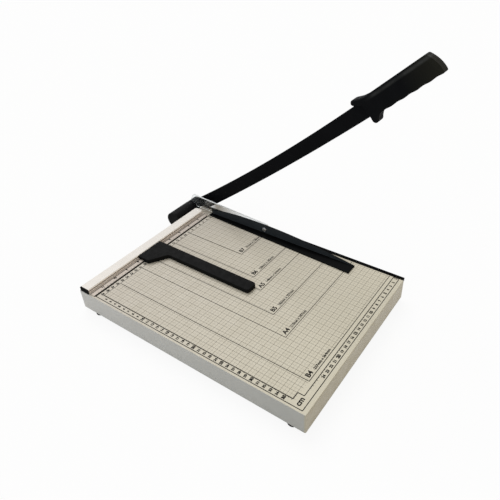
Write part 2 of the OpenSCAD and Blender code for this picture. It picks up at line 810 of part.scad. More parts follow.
// Side view of the grip, drawn in by an inset
module grip_outline(inset) {
    low_s0 = grip_s0 + 3 * hand_guard_r;
    low_s1 = grip_s1 + grip_end_lean - 2 * inset;
    groove_n = finger_n * wave_n;
    end_low = [low_s1, groove_at(1) + inset];
    end_top = [grip_s1 - inset, grip_top_end - inset];
    polygon(concat(
        [[arm_len + inset, back_rise], [grip_s0 + inset, inset - edge_drop + over]],
        [for (i = [0 : groove_n], t = i / groove_n) [low_s0 + (low_s1 - low_s0) * t, groove_at(t) + inset]],
        [for (i = [1 : arc_n], t = i / arc_n) end_low + t * (end_top - end_low) + [bow(grip_bulge, t), 0]],
        [[grip_s0 + 2 * thumb_r, grip_top_front - inset]]));
    // Thumb lobe
    translate([thumb_s, thumb_rise]) circle(r = thumb_r - inset);
    polygon([[thumb_s, thumb_rise + thumb_r - inset], [grip_s0, thumb_rise + thumb_r / 4 - inset],
        [grip_s0 + 2 * thumb_r, grip_top_front - inset], [grip_s0, 0],
        [thumb_s, thumb_rise - thumb_r + inset]]);
    // Hand guard lobe
    translate([grip_s0 + hand_guard_r, -hand_guard_drop]) circle(r = hand_guard_r - inset);
    polygon([[grip_s0 + inset, inset - edge_drop + over], [grip_s0 + inset, -hand_guard_drop],
        [grip_s0 + 2 * hand_guard_r - inset, -hand_guard_drop],
        [grip_s0 + 3 * hand_guard_r, inset - grip_low_front], [grip_s0 + 3 * hand_guard_r, 0]]);
}

module grip_half(side) {
    face = side < 0 ? grip_x_mid - grip_half_t : grip_x_mid;
    rim = side < 0 ? face : face + grip_half_t - grip_edge;
    core = side < 0 ? face + grip_edge : face;
    difference() {
        union() {
            arm_plate(core, grip_half_t - grip_edge) grip_outline(0);
            arm_plate(rim, grip_edge) grip_outline(grip_edge / 2);
        }
        arm_plate(arm_x0, arm_t) {
            blade_outline();
            tang_outline(fit_gap);
        }
    }
}

module grip_inner_half() {
    color([0.05, 0.05, 0.05])
    arm_pose() difference() {
        grip_half(-1);
        at_grip_screws(grip_x_mid) blind_hole(screw_d, grip_thread + fit_gap);
    }
}

module grip_outer_half() {
    color([0.05, 0.05, 0.05])
    arm_pose() difference() {
        grip_half(1);
        at_grip_screws(grip_x_mid + grip_half_t) screw_hole(screw_d, grip_half_t);
        at_grip_screws(grip_x_mid + grip_half_t) head_recess(screw_d, grip_recess);
    }
}

module grip_screws() {
    color([0.7, 0.7, 0.72])
    arm_pose() at_grip_screws(grip_x_mid + grip_half_t - grip_recess)
        pan_screw(screw_d, grip_half_t - grip_recess + grip_thread);
}

// Top of the clamp's upright, from its rear end to its front end
function clamp_chord_at(t) = clamp_rear_h + (clamp_front_h - clamp_rear_h) * t;
function clamp_top_at(t) = clamp_chord_at(t)
    + bow(clamp_arch_h - clamp_chord_at(clamp_peak), pow(t, ln(0.5) / ln(clamp_peak)));

// Places on the clamp's upright, pointing to the right
module at_guard(places, x) {
    for (p = places) translate([x, fence_y - p[0], top_z + p[1]]) rotate([0, 90, 0]) children();
}

module clamp_bar() {
    clamp_l = clamp_front - clamp_rear;
    rear = fence_y - clamp_rear;
    front = fence_y - clamp_front;
    low = top_z + move_gap;
    color([0.07, 0.07, 0.08])
    difference() {
        union() {
            translate([0, 0, low]) linear_extrude(clamp_foot_t) polygon([
                [flange_x1, rear], [flange_x1 - clamp_foot_rear_w, rear],
                [flange_x1 - clamp_foot_w, front], [flange_x1, front]]);
            along_x(flange_x0, clamp_flange_t) polygon(concat(
                [for (i = [0 : curve_n]) [rear - clamp_l * i / curve_n, top_z + clamp_top_at(i / curve_n)]],
                [[front, low], [rear, low]]));
            // Welded stud
            at_guard([guard_stud_place], flange_x1 - over)
                cylinder(d = guard_screw_d, h = over + guard_t + guard_nut_h);
        }
        at_guard([guard_screw_place], flange_x0) screw_hole(guard_screw_d, clamp_flange_t);
    }
}

module clamp_bush() {
    color([0.06, 0.06, 0.065])
    difference() {
        union() {
            on_pivot(collar_x0, flange_x1 - collar_x0, collar_r);
            on_pivot(collar_x0, guard_x1 - collar_x0, bush_d / 2);
        }
        on_pivot(collar_x0 - over, guard_x1 - collar_x0 + 2 * over, bolt_d / 2 + run_fit);
    }
}

module clear_guard() {
    front = fence_y - guard_front;
    rear = fence_y + guard_rear;
    low = top_z + guard_low;
    color([0.85, 0.9, 0.92, 0.4])
    difference() {
        along_x(flange_x1, guard_t) polygon(concat(
            arc_pts([front + guard_r, low + guard_r], guard_r, 270, 180),
            arc_pts([front + guard_r, top_z + guard_front_h - guard_r], guard_r, 180, 90),
            arc_pts([rear - guard_r, top_z + guard_rear_h - guard_r], guard_r, 90, 0),
            arc_pts([pivot_y, pivot_z], guard_eye_r, 45, -90),
            arc_pts([pivot_y, pivot_z], guard_eye_r, -90, -180),
            [[pivot_y - guard_eye_r, low]]));
        on_pivot(flange_x1 - over, guard_t + 2 * over, bush_d / 2 + fit_gap);
        at_guard([guard_screw_place, guard_stud_place], flange_x1) screw_hole(guard_screw_d, guard_t);
    }
}

module guard_screw() {
    color([0.75, 0.75, 0.77])
    at_guard([guard_screw_place], flange_x0) pan_screw(guard_screw_d, clamp_flange_t + guard_t + guard_nut_h);
}

module guard_nuts() {
    color([0.7, 0.7, 0.72])
    at_guard([guard_screw_place, guard_stud_place], guard_x1) difference() {
        cylinder(d = head_w * guard_screw_d, h = guard_nut_h, $fn = 6);
        screw_hole(guard_screw_d, guard_nut_h);
    }
}

module stop_plan() {
    front = fence_y - stop_len;
    polygon(concat(
        [[stop_x1, stop_back], [stop_x0, stop_back]],
        arc_pts([stop_x0 + stop_r, fence_y - stop_head_l + stop_r], stop_r, 180, 250),
        [[stop_arm_x0, fence_y - stop_neck_l]],
        arc_pts([stop_arm_x0 + stop_r, front + stop_r], stop_r, 180, 270),
        arc_pts([stop_x1 - stop_r, front + stop_r], stop_r, 270, 360)));
}

module at_stop_screws() {
    for (x = runner_screw_xs) translate([x, stop_back - runner_plate_w / 2, stop_low]) children();
}

module paper_stop() {
    color([0.09, 0.09, 0.095])
    difference() {
        translate([0, 0, top_z + move_gap]) linear_extrude(stop_h - move_gap) stop_plan();
        // Step over the ruler strip
        translate([stop_x0 - over, fence_y - 2 * move_gap, top_z])
            cube([stop_head_w + 2 * over, ruler_w + over, stop_low - top_z]);
        // Seat of the runner
        translate([runner_x0 - fit_gap, runner_front - fit_gap, top_z])
            cube([runner_l + 2 * fit_gap, runner_plate_w + over, stop_low - top_z + runner_plate_t]);
        at_stop_screws() blind_hole(stop_screw_d, runner_plate_t + stop_thread + fit_gap);
    }
}

module stop_runner() {
    neck_z0 = top_z + slot_z - slot_mouth_h / 2 + move_gap;
    neck_h = stop_low + runner_plate_t - neck_z0;
    neck_l = fence_y + slot_y1 - move_gap - runner_front - over;
    tee_h = slot_inner_h - 2 * move_gap;
    color([0.85, 0.84, 0.80])
    difference() {
        union() {
            translate([runner_x0, runner_front, stop_low]) cube([runner_l, runner_plate_w, runner_plate_t]);
            translate([runner_x0, runner_front + over, neck_z0]) cube([runner_l, neck_l, neck_h]);
            translate([runner_x0, fence_y + slot_y0 + move_gap, top_z + slot_z - tee_h / 2])
                cube([runner_l, slot_inner_d - 2 * move_gap, tee_h]);
        }
        at_stop_screws() screw_hole(stop_screw_d, runner_plate_t);
        at_stop_screws() head_recess(stop_screw_d, runner_plate_t / 2);
    }
}

module stop_screws() {
    color([0.7, 0.7, 0.72])
    at_stop_screws() translate([0, 0, runner_plate_t / 2])
        pan_screw(stop_screw_d, runner_plate_t / 2 + stop_thread);
}

bed_tray();
foot_rails();
rubber_feet();
foot_screws();
fence_rail();
fence_end_cap();
fence_screws();
fixed_blade();
fixed_blade_screws();
pivot_barrel();
barrel_end_cap();
barrel_bush();
barrel_screws();
backing_plate();
blade_arm();
arm_hub();
pivot_bolt();
head_washer();
pivot_spring();
thrust_washer();
lock_nut();
grip_inner_half();
grip_outer_half();
grip_screws();
clamp_bar();
clamp_bush();
clear_guard();
guard_screw();
guard_nuts();
paper_stop();
stop_runner();
stop_screws();
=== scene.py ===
import bmesh
import bpy
import json
import math
from mathutils import Matrix, Vector


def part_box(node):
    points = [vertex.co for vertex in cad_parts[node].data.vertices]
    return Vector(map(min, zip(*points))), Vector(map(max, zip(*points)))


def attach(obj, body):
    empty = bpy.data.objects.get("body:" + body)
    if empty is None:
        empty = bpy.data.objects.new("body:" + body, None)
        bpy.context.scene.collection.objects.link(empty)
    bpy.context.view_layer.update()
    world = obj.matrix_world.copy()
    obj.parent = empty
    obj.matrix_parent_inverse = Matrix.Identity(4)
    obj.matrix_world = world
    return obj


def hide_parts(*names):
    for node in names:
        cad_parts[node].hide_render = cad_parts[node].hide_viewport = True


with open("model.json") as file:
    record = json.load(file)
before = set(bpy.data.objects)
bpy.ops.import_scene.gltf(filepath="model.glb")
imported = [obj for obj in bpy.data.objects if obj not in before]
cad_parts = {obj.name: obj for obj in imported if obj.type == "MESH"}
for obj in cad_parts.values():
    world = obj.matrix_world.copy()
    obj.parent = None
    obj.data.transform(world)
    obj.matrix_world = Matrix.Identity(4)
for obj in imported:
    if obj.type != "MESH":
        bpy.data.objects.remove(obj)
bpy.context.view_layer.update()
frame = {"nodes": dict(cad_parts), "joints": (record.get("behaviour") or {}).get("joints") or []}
mm = 0.001
scene = bpy.context.scene

# Lines of the trimmer that several pieces share
bedLow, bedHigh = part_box("bed_tray")
fenceLow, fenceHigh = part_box("fence_rail")
armLow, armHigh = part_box("blade_arm")
topZ = bedHigh.z
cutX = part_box("fixed_blade")[1].x
fenceY = fenceLow.y
pivot = Vector(next(j["pos_m"] for j in frame["joints"] if j["name"] == "arm_pivot"))
restAngle = math.radians(38.3)   # of the arm above the bed
print("frame loaded, cutting edge at", round(cutX, 4))


# Camera, solved from the printed sheet sizes on the bed
photoView = {
    "place": (-0.4773, -0.41079, 0.56997),
    "right": (0.56609, -0.8239, -0.02708),
    "up": (0.49484, 0.31336, 0.81052),
    "back": (-0.6593, -0.47222, 0.58508),
    "focalPx": 508.087,
    "middlePx": (272.09, 238.94),
    "framePx": 500,
    "sensor": 36,
    "nearest": 0.01,
}


def placeCamera(view):
    lens = bpy.data.cameras.new("photoCamera")
    camera = bpy.data.objects.new("photoCamera", lens)
    scene.collection.objects.link(camera)
    turn = Matrix((view["right"], view["up"], view["back"])).transposed().to_4x4()
    camera.matrix_world = Matrix.Translation(view["place"]) @ turn
    lens.sensor_width = view["sensor"]
    lens.lens = view["focalPx"] / view["framePx"] * lens.sensor_width
    lens.shift_x = (view["framePx"] / 2 - view["middlePx"][0]) / view["framePx"]
    lens.shift_y = (view["middlePx"][1] - view["framePx"] / 2) / view["framePx"]
    lens.clip_start = view["nearest"]
    bpy.context.scene.camera = camera


placeCamera(photoView)


# Light and ground
studio = {
    "skyStrength": 0.46,
    "keyFrom": (0.38, 0.54, 1.0),      # behind and to the right, as the stop's shadow shows
    "keyStrength": 1.64,
    "keyAngle": 40,
    "leftFrom": (-1.0, -0.1, 0.35),    # cool window light on the left side
    "leftStrength": 0.78,
    "leftTint": (0.71, 0.89, 1.0),
    "frontFrom": (-0.15, -1.0, 0.30),  # warm fill on the front side
    "frontStrength": 0.78,
    "frontTint": (1.0, 0.78, 0.44),
    "fillAngle": 70,                   # of the left and the front light
    "floorAlbedo": 0.82,
    "floorGlow": 0.90,
    "floorSize": 9.0,
    "floorZ": -0.0002,
}


def addSun(name, source, strength, angle, tint=(1, 1, 1)):
    sun = bpy.data.lights.new(name, "SUN")
    sun.energy = strength
    sun.angle = math.radians(angle)
    sun.color = tint
    lamp = bpy.data.objects.new(name, sun)
    lamp.rotation_euler = Vector(source).to_track_quat("Z", "Y").to_euler()
    scene.collection.objects.link(lamp)


def seenRays(tree):
    # 1 for rays that show the background: camera, mirror and glass rays
    path = tree.nodes.new("ShaderNodeLightPath")
    first = tree.nodes.new("ShaderNodeMath")
    first.operation = "MAXIMUM"
    tree.links.new(path.outputs["Is Camera Ray"], first.inputs[0])
    tree.links.new(path.outputs["Is Glossy Ray"], first.inputs[1])
    both = tree.nodes.new("ShaderNodeMath")
    both.operation = "MAXIMUM"
    tree.links.new(first.outputs[0], both.inputs[0])
    tree.links.new(path.outputs["Is Transmission Ray"], both.inputs[1])
    return both.outputs[0]


def buildStudio(s):
    world = bpy.data.worlds.new("studioWorld")
    scene.world = world
    world.use_nodes = True
    tree = world.node_tree
    tree.nodes.clear()
    sky = tree.nodes.new("ShaderNodeBackground")
    sky.inputs["Color"].default_value = (1, 1, 1, 1)
    sky.inputs["Strength"].default_value = s["skyStrength"]
    white = tree.nodes.new("ShaderNodeBackground")
    white.inputs["Color"].default_value = (1, 1, 1, 1)
    white.inputs["Strength"].default_value = 1
    mix = tree.nodes.new("ShaderNodeMixShader")
    out = tree.nodes.new("ShaderNodeOutputWorld")
    tree.links.new(seenRays(tree), mix.inputs[0])
    tree.links.new(sky.outputs[0], mix.inputs[1])
    tree.links.new(white.outputs[0], mix.inputs[2])
    tree.links.new(mix.outputs[0], out.inputs[0])

    addSun("keyLight", s["keyFrom"], s["keyStrength"], s["keyAngle"])
    addSun("leftLight", s["leftFrom"], s["leftStrength"], s["fillAngle"], s["leftTint"])
    addSun("frontLight", s["frontFrom"], s["frontStrength"], s["fillAngle"], s["frontTint"])

    half = s["floorSize"] / 2
    mesh = bpy.data.meshes.new("studioFloor")
    corners = [(-half, -half, 0), (half, -half, 0), (half, half, 0), (-half, half, 0)]
    mesh.from_pydata(corners, [], [(0, 1, 2, 3)])
    floor = bpy.data.objects.new("studioFloor", mesh)
    floor.location.z = s["floorZ"]
    scene.collection.objects.link(floor)
    paper = bpy.data.materials.new("floorPaper")
    paper.use_nodes = True
    tree = paper.node_tree
    tree.nodes.clear()
    matte = tree.nodes.new("ShaderNodeBsdfDiffuse")
    matte.inputs["Color"].default_value = (s["floorAlbedo"],) * 3 + (1,)
    glow = tree.nodes.new("ShaderNodeEmission")
    glow.inputs["Strength"].default_value = 1
    share = tree.nodes.new("ShaderNodeMath")
    share.operation = "MULTIPLY"
    share.inputs[1].default_value = s["floorGlow"]
    mix = tree.nodes.new("ShaderNodeMixShader")
    out = tree.nodes.new("ShaderNodeOutputMaterial")
    tree.links.new(seenRays(tree), share.inputs[0])
    tree.links.new(share.outputs[0], mix.inputs[0])
    tree.links.new(matte.outputs[0], mix.inputs[1])
    tree.links.new(glow.outputs[0], mix.inputs[2])
    tree.links.new(mix.outputs[0], out.inputs[0])
    mesh.materials.append(paper)


buildStudio(studio)
scene.view_settings.view_transform = "Standard"
print("camera and studio ready")


# A finish is a principled material that is fed by procedural textures in the part's own space
class Finish:
    def __init__(self, name):
        self.material = bpy.data.materials.new(name)
        self.material.use_nodes = True
        self.tree = self.material.node_tree
        self.shader = self.tree.nodes["Principled BSDF"]
        self.space = self.tree.nodes.new("ShaderNodeTexCoord").outputs["Object"]

    def feed(self, socket, value):
        if hasattr(value, "is_output"):
            self.tree.links.new(value, socket)
        else:
            socket.default_value = value

    def maths(self, operation, *values):
        n = self.tree.nodes.new("ShaderNodeMath")
        n.operation = operation
        for socket, value in zip(n.inputs, values):
            self.feed(socket, value)
        return n.outputs[0]

    def inMm(self, value, start, way=1):
        # Distance from a line of the part in mm, along the axis or against it
        return self.maths("MULTIPLY_ADD", value, way * 1000, -way * start / mm)

    def axes(self, vector=None):
        n = self.tree.nodes.new("ShaderNodeSeparateXYZ")
        self.feed(n.inputs[0], vector or self.space)
        return n.outputs

    def stretched(self, scale):
        n = self.tree.nodes.new("ShaderNodeMapping")
        n.inputs["Scale"].default_value = scale
        self.feed(n.inputs["Vector"], self.space)
        return n.outputs[0]

    def noise(self, scale, detail=3, vector=None):
        n = self.tree.nodes.new("ShaderNodeTexNoise")
        n.inputs["Scale"].default_value = scale
        n.inputs["Detail"].default_value = detail
        self.feed(n.inputs["Vector"], vector or self.space)
        return n.outputs["Fac"]

    def cells(self, scale):
        n = self.tree.nodes.new("ShaderNodeTexVoronoi")
        n.inputs["Scale"].default_value = scale
        self.feed(n.inputs["Vector"], self.space)
        return n.outputs["Distance"]

    def span(self, value, low, high, toLow, toHigh):
        n = self.tree.nodes.new("ShaderNodeMapRange")
        limits = {"Value": value, "From Min": low, "From Max": high, "To Min": toLow, "To Max": toHigh}
        for name, v in limits.items():
            self.feed(n.inputs[name], v)
        return n.outputs["Result"]

    def blend(self, share, a, b):
        n = self.tree.nodes.new("ShaderNodeMix")
        n.data_type = "RGBA"
        self.feed(n.inputs[0], share)
        for socket, value in ((n.inputs[6], a), (n.inputs[7], b)):
            self.feed(socket, value if hasattr(value, "is_output") else tuple(value) + (1,))
        return n.outputs[2]

    def bump(self, height, depth, strength=1.0):
        n = self.tree.nodes.new("ShaderNodeBump")
        n.inputs["Strength"].default_value = strength
        n.inputs["Distance"].default_value = depth
        self.feed(n.inputs["Height"], height)
        self.feed(self.shader.inputs["Normal"], n.outputs["Normal"])

    def put(self, socket, value):
        self.feed(self.shader.inputs[socket], value)


def shade(color, factor):
    return tuple(c * factor for c in color)


# Finish of the folded bed: cream print on top with a measuring grid, paint on the sides; painted shade
# darkens the board towards the rear and towards the pivot, and painted warm light browns the front side
bedFinish = {
    "boardFront": (0.560, 0.518, 0.410),
    # the darker rear of the board is painted shade
    "boardRear": (0.508, 0.462, 0.399),
    "sidesRear": (0.516, 0.494, 0.464),
    "sidesFront": (0.376, 0.365, 0.336),
    "frontLeft": (0.372, 0.342, 0.266),    # the front side is painted browner, as painted warm light falling on it
    "frontRight": (0.430, 0.400, 0.322),
    "scuff": (0.34, 0.32, 0.29),
    "scuffHeight": 7.0,                    # mm above the lower edge
    "frontDepth": (1.5, 3.5),              # mm behind the front face, where its tone ends
    "pivotShadeShare": 0.2,                         # share of painted shade towards the pivot, where the clamp and the guard stand
    "pivotShadeFrom": (80, 200),
    "pivotShadeSlant": 0.6,
    "cloud": 11, "speck": 1400, "peel": 620, "patchy": 70, "wear": 90,   # scales of the noise
    "rough": (0.42, 0.58), "shine": 0.35, "skin": 0.05,
    "gridInk": (0.095, 0.080, 0.052),
    "gridU": (7, 291),       # mm from the cutting edge
    "gridV": (10, 364),      # mm from the fence
    "pitch": (10, 5),        # main and fine lines
    "lineWidth": (0.62, 0.42),
    "dash": (1.6, 1.1),
    "lineInk": (0.95, 0.70),
    "dashShare": 0.66,
}


def finishBed(s, name, withGrid):
    f = Finish(name)
    x, y, z = f.axes()
    cloud = f.noise(s["cloud"], 4)
    speck = f.noise(s["speck"], 2)
    # Painted shade: the board gets darker towards the rear
    fore = f.span(y, bedLow.y, bedHigh.y, 0, 1)
    board = f.blend(fore, s["boardFront"], s["boardRear"])
    board = f.blend(f.span(cloud, 0.3, 0.7, 0, 0.25), board, shade(s["boardFront"], 0.86))
    board = f.blend(f.span(speck, 0.62, 0.72, 0, 0.25), board, shade(s["boardFront"], 0.82))
    u = f.inMm(x, cutX, -1)
    v = f.inMm(y, fenceY, -1)
    # Painted shade on the board towards the pivot
    pivotShade = f.span(f.maths("MULTIPLY_ADD", v, s["pivotShadeSlant"], u), *s["pivotShadeFrom"], s["pivotShadeShare"], 0)
    board = f.blend(pivotShade, board, shade(s["boardRear"], 0.45))
    if withGrid:
        def ruled(value, pitch, width):
            away = f.maths("PINGPONG", value, pitch / 2)
            return f.span(away, width * 0.4, width * 0.62, 1, 0)

        def dashedGrid(pitch, width, dash, ink):
            def broken(value):
                return f.maths("LESS_THAN", f.maths("PINGPONG", value, dash), dash * s["dashShare"])

            across = f.maths("MULTIPLY", ruled(u, pitch, width), broken(v))
            along = f.maths("MULTIPLY", ruled(v, pitch, width), broken(u))
            return f.maths("MULTIPLY", f.maths("MAXIMUM", across, along), ink)

        kinds = zip(s["pitch"], s["lineWidth"], s["dash"], s["lineInk"])
        lines = f.maths("MAXIMUM", *[dashedGrid(*kind) for kind in kinds])
        for value, (low, high) in ((u, s["gridU"]), (v, s["gridV"])):
            lines = f.maths("MULTIPLY", lines, f.maths("GREATER_THAN", value, low))
            lines = f.maths("MULTIPLY", lines, f.maths("LESS_THAN", value, high))
        board = f.blend(lines, board, s["gridInk"])
    tone = f.blend(fore, s["sidesFront"], s["sidesRear"])
    # Painted warm light: the front side is browner, and darker to its left
    paintedFrontWarmth = f.blend(f.span(x, bedLow.x, bedHigh.x, 0, 1), s["frontLeft"], s["frontRight"])
    start, end = s["frontDepth"]
    tone = f.blend(f.span(y, bedLow.y + start * mm, bedLow.y + end * mm, 1, 0), tone, paintedFrontWarmth)
    sides = f.blend(f.span(cloud, 0.3, 0.7, 0.0, 0.12), tone, shade(s["sidesFront"], 0.8))
    low = f.span(z, bedLow.z, bedLow.z + s["scuffHeight"] * mm, 1, 0)
    wearAndSheenMask = f.maths("MULTIPLY", low, f.span(f.noise(s["wear"], 5), 0.54, 0.68, 0, 0.55))
    sides = f.blend(wearAndSheenMask, sides, s["scuff"])
    onTop = f.maths("GREATER_THAN", z, topZ - 0.15 * mm)
    f.put("Base Color", f.blend(onTop, sides, board))
    f.put("Roughness", f.span(f.noise(s["patchy"]), 0.3, 0.7, *s["rough"]))
    f.put("Specular IOR Level", s["shine"])
    peel = f.maths("ADD", f.noise(s["peel"], 2), f.maths("MULTIPLY", speck, 0.3))
    f.bump(peel, s["skin"] * mm, 0.6)
    return f.material


# Satin black coat on the blade, the clamp and the fixed strip
coatFinish = {
    "dark": (0.0020, 0.0021, 0.0026), "pale": (0.0050, 0.0052, 0.0060),
    "rub": (0.018, 0.019, 0.022), "shine": 0.03,
}
stripFinish = {
    "dark": (0.0005, 0.0005, 0.0006), "pale": (0.0015, 0.0015, 0.0016),
    "rub": (0.006, 0.006, 0.006), "shine": 0.012,
}
clampFinish = {
    "dark": (0.0012, 0.0013, 0.0015), "pale": (0.0030, 0.0031, 0.0034),
    "rub": (0.010, 0.011, 0.012), "shine": 0.02,
    "face": (0.0240, 0.0268, 0.0300), "faceFrom": 2.1,   # painted light: the upright's inner face is lighter where it faces the left light; faceFrom is mm above the bed
}
coatGrain = {"cloud": 45, "patchy": 140, "skin": 1300, "streaks": (420, 26, 420), "rough": (0.36, 0.52)}


def finishCoat(s, name):
    f = Finish(name)
    g = coatGrain
    base = f.blend(f.noise(g["cloud"], 4), s["dark"], s["pale"])
    streak = f.noise(1, 4, f.stretched(g["streaks"]))
    # Painted light: the faces turned to the left above the foot are lighter
    if "face" in s:
        facing = f.axes(f.tree.nodes.new("ShaderNodeNewGeometry").outputs["True Normal"])[0]
        above = f.maths("GREATER_THAN", f.axes()[2], topZ + s["faceFrom"] * mm)
        face = f.blend(f.noise(g["cloud"], 4), shade(s["face"], 0.7), shade(s["face"], 1.3))
        base = f.blend(f.maths("MULTIPLY", above, f.maths("LESS_THAN", facing, -0.7)), base, face)
    base = f.blend(f.span(streak, 0.66, 0.80, 0, 0.35), base, s["rub"])
    f.put("Base Color", base)
    f.put("Roughness", f.span(f.noise(g["patchy"], 4), 0.3, 0.7, *g["rough"]))
    f.put("Specular IOR Level", s["shine"])
    f.bump(f.noise(g["skin"], 2), 0.03 * mm, 0.5)
    return f.material


# Moulded plastic with a fine spark-eroded grain
mouldFinish = {"dark": (0.0030, 0.0030, 0.0031), "pale": (0.0064, 0.0064, 0.0063), "shine": 0.035}
capFinish = {"dark": (0.0020, 0.0020, 0.0020), "pale": (0.0050, 0.0048, 0.0045), "shine": 0.010}
mouldGrain = {"cells": 1500, "depth": 0.06}


def finishMoulding(s, name):
    f = Finish(name)
    f.put("Base Color", f.blend(f.noise(60, 4), s["dark"], s["pale"]))
    f.put("Roughness", f.span(f.noise(110), 0.3, 0.7, 0.46, 0.64))
    f.put("Specular IOR Level", s["shine"])
    f.bump(f.cells(mouldGrain["cells"]), mouldGrain["depth"] * mm, 0.55)
    return f.material


# The grip's moulding: a painted sheen along its upper bevel, and paler towards its end as painted light
gripFinish = {
    "dark": (0.0022, 0.0023, 0.0028), "pale": (0.0050, 0.0052, 0.0058),
    # paintedSheen is a painted highlight along the bevel; tail is painted light towards the end
    "paintedSheen": (0.048, 0.048, 0.046), "tail": (0.0150, 0.0145, 0.0100), "shine": 0.035,
    "topLine": (449.8, 12.0, 0.053),    # place, height and slope of the upper edge in mm along the arm
    "sheenBand": (5.0, 0.6, 3.2),      # depth below the edge, half width of the core and of the fade
    "sheenFrom": (446, 470),
    "tailFrom": (505, 552),
}


def finishGrip(s):
    f = Finish("gripMoulding")
    _, y, z = f.axes()
    c, d = math.cos(restAngle), math.sin(restAngle)
    back = f.inMm(y, pivot.y)
    up = f.inMm(z, pivot.z)
    along = f.maths("ADD", f.maths("MULTIPLY", back, -c), f.maths("MULTIPLY", up, d))
    across = f.maths("ADD", f.maths("MULTIPLY", back, d), f.maths("MULTIPLY", up, c))
    start, height, slope = s["topLine"]
    edge = f.maths("MULTIPLY_ADD", along, slope, height - slope * start)
    # Painted highlight: a lighter band below the upper edge, broken up by noise
    depth, core, fade = s["sheenBand"]
    off = f.maths("ABSOLUTE", f.maths("SUBTRACT", f.maths("SUBTRACT", edge, across), depth))
    wearAndSheenMask = f.span(f.noise(55, 4), 0.35, 0.65, 0.25, 0.85)
    band = f.maths("MULTIPLY", f.span(off, core, fade, 1, 0), wearAndSheenMask)
    base = f.blend(f.noise(60, 4), s["dark"], s["pale"])
    # Painted light: the grip gets paler towards its end
    base = f.blend(f.span(along, *s["tailFrom"], 0, 0.75), base, s["tail"])
    base = f.blend(f.maths("MULTIPLY", band, f.span(along, *s["sheenFrom"], 0, 0.8)), base, s["paintedSheen"])
    f.put("Base Color", base)
    f.put("Roughness", f.span(band, 0, 1, 0.58, 0.42))
    f.put("Specular IOR Level", s["shine"])
    f.bump(f.cells(mouldGrain["cells"]), mouldGrain["depth"] * mm, 0.55)
    return f.material


# Paint over a sand-cast skin
castFinish = {"dark": (0.0026, 0.0026, 0.0028), "pale": (0.0060, 0.0060, 0.0064), "shine": 0.04, "skin": 0.12}


def finishCasting(s):
    f = Finish("blackCasting")
    skin = f.maths("ADD", f.noise(420, 4), f.maths("MULTIPLY", f.noise(90, 2), 0.8))
    f.put("Base Color", f.blend(f.noise(80, 4), s["dark"], s["pale"]))
    f.put("Roughness", f.span(f.noise(160), 0.3, 0.7, 0.42, 0.60))
    f.put("Specular IOR Level", s["shine"])
    f.bump(skin, s["skin"] * mm, 0.6)
    return f.material


# White enamel on the fence's top and front face, tan on its ruler strip; painted light lifts the front face
# above the top, and painted shade darkens the top and strip towards the pivot and draws two dark lines on the
# strip
fenceFinish = {
    "top": (0.750, 0.708, 0.665), "strip": (0.525, 0.455, 0.395),
    # face is lighter than the top: painted light on the front face
    "face": (0.820, 0.770, 0.740), "line": (0.050, 0.040, 0.030), "shine": 0.4,
    "toPivot": (0.90, 0.80),    # painted shade: how much darker the top and the strip get towards the pivot
    "stripLine": (7.6, 9.4),    # painted shade at the foot of the face, mm behind the ruler edge
    "edgeLine": (-1.0, 0.6),    # painted shade: the strip's front edge is painted black
    "lineSoft": 0.15,
    "faceFrom": (1.75, 1.95),   # mm above the bed
    "topFrom": (7.1, 7.3),
}


def finishFence(s):
    f = Finish("fenceEnamel")
    x, y, z = f.axes()
    up = f.inMm(z, topZ)
    back = f.inMm(y, fenceY)
    near = f.span(x, fenceLow.x, fenceHigh.x, 0, 1)

    def within(value, low, high):
        soft = s["lineSoft"]
        start = f.span(value, low - soft, low + soft, 0, 1)
        return f.maths("MULTIPLY", start, f.span(value, high - soft, high + soft, 1, 0))

    drawn = f.noise(1, 4, f.stretched((14, 900, 900)))
    # Painted shade towards the pivot on the top and the strip
    top = f.blend(near, s["top"], shade(s["top"], s["toPivot"][0]))
    top = f.blend(f.span(drawn, 0.3, 0.7, 0, 0.08), top, shade(s["top"], 0.5))
    strip = f.blend(near, s["strip"], shade(s["strip"], s["toPivot"][1]))
    strip = f.blend(f.span(drawn, 0.3, 0.7, 0, 0.1), strip, shade(s["strip"], 0.5))
    # Painted shade: a dark line at the foot of the face
    strip = f.blend(f.maths("MULTIPLY", within(back, *s["stripLine"]), 0.85), strip, s["line"])
    # Painted shade: the front edge of the strip is black
    strip = f.blend(f.maths("MULTIPLY", within(back, *s["edgeLine"]), 0.95), strip, shade(s["line"], 0.3))
    # Painted light: the front face is lighter than the top
    face = f.blend(drawn, shade(s["face"], 0.9), shade(s["face"], 1.08))
    color = f.blend(f.span(up, *s["faceFrom"], 0, 1), strip, face)
    color = f.blend(f.span(up, *s["topFrom"], 0, 1), color, top)
    f.put("Base Color", color)
    f.put("Roughness", f.span(f.noise(90), 0.3, 0.7, 0.36, 0.52))
    f.put("Specular IOR Level", s["shine"])
    f.bump(drawn, 0.03 * mm, 0.5)
    return f.material


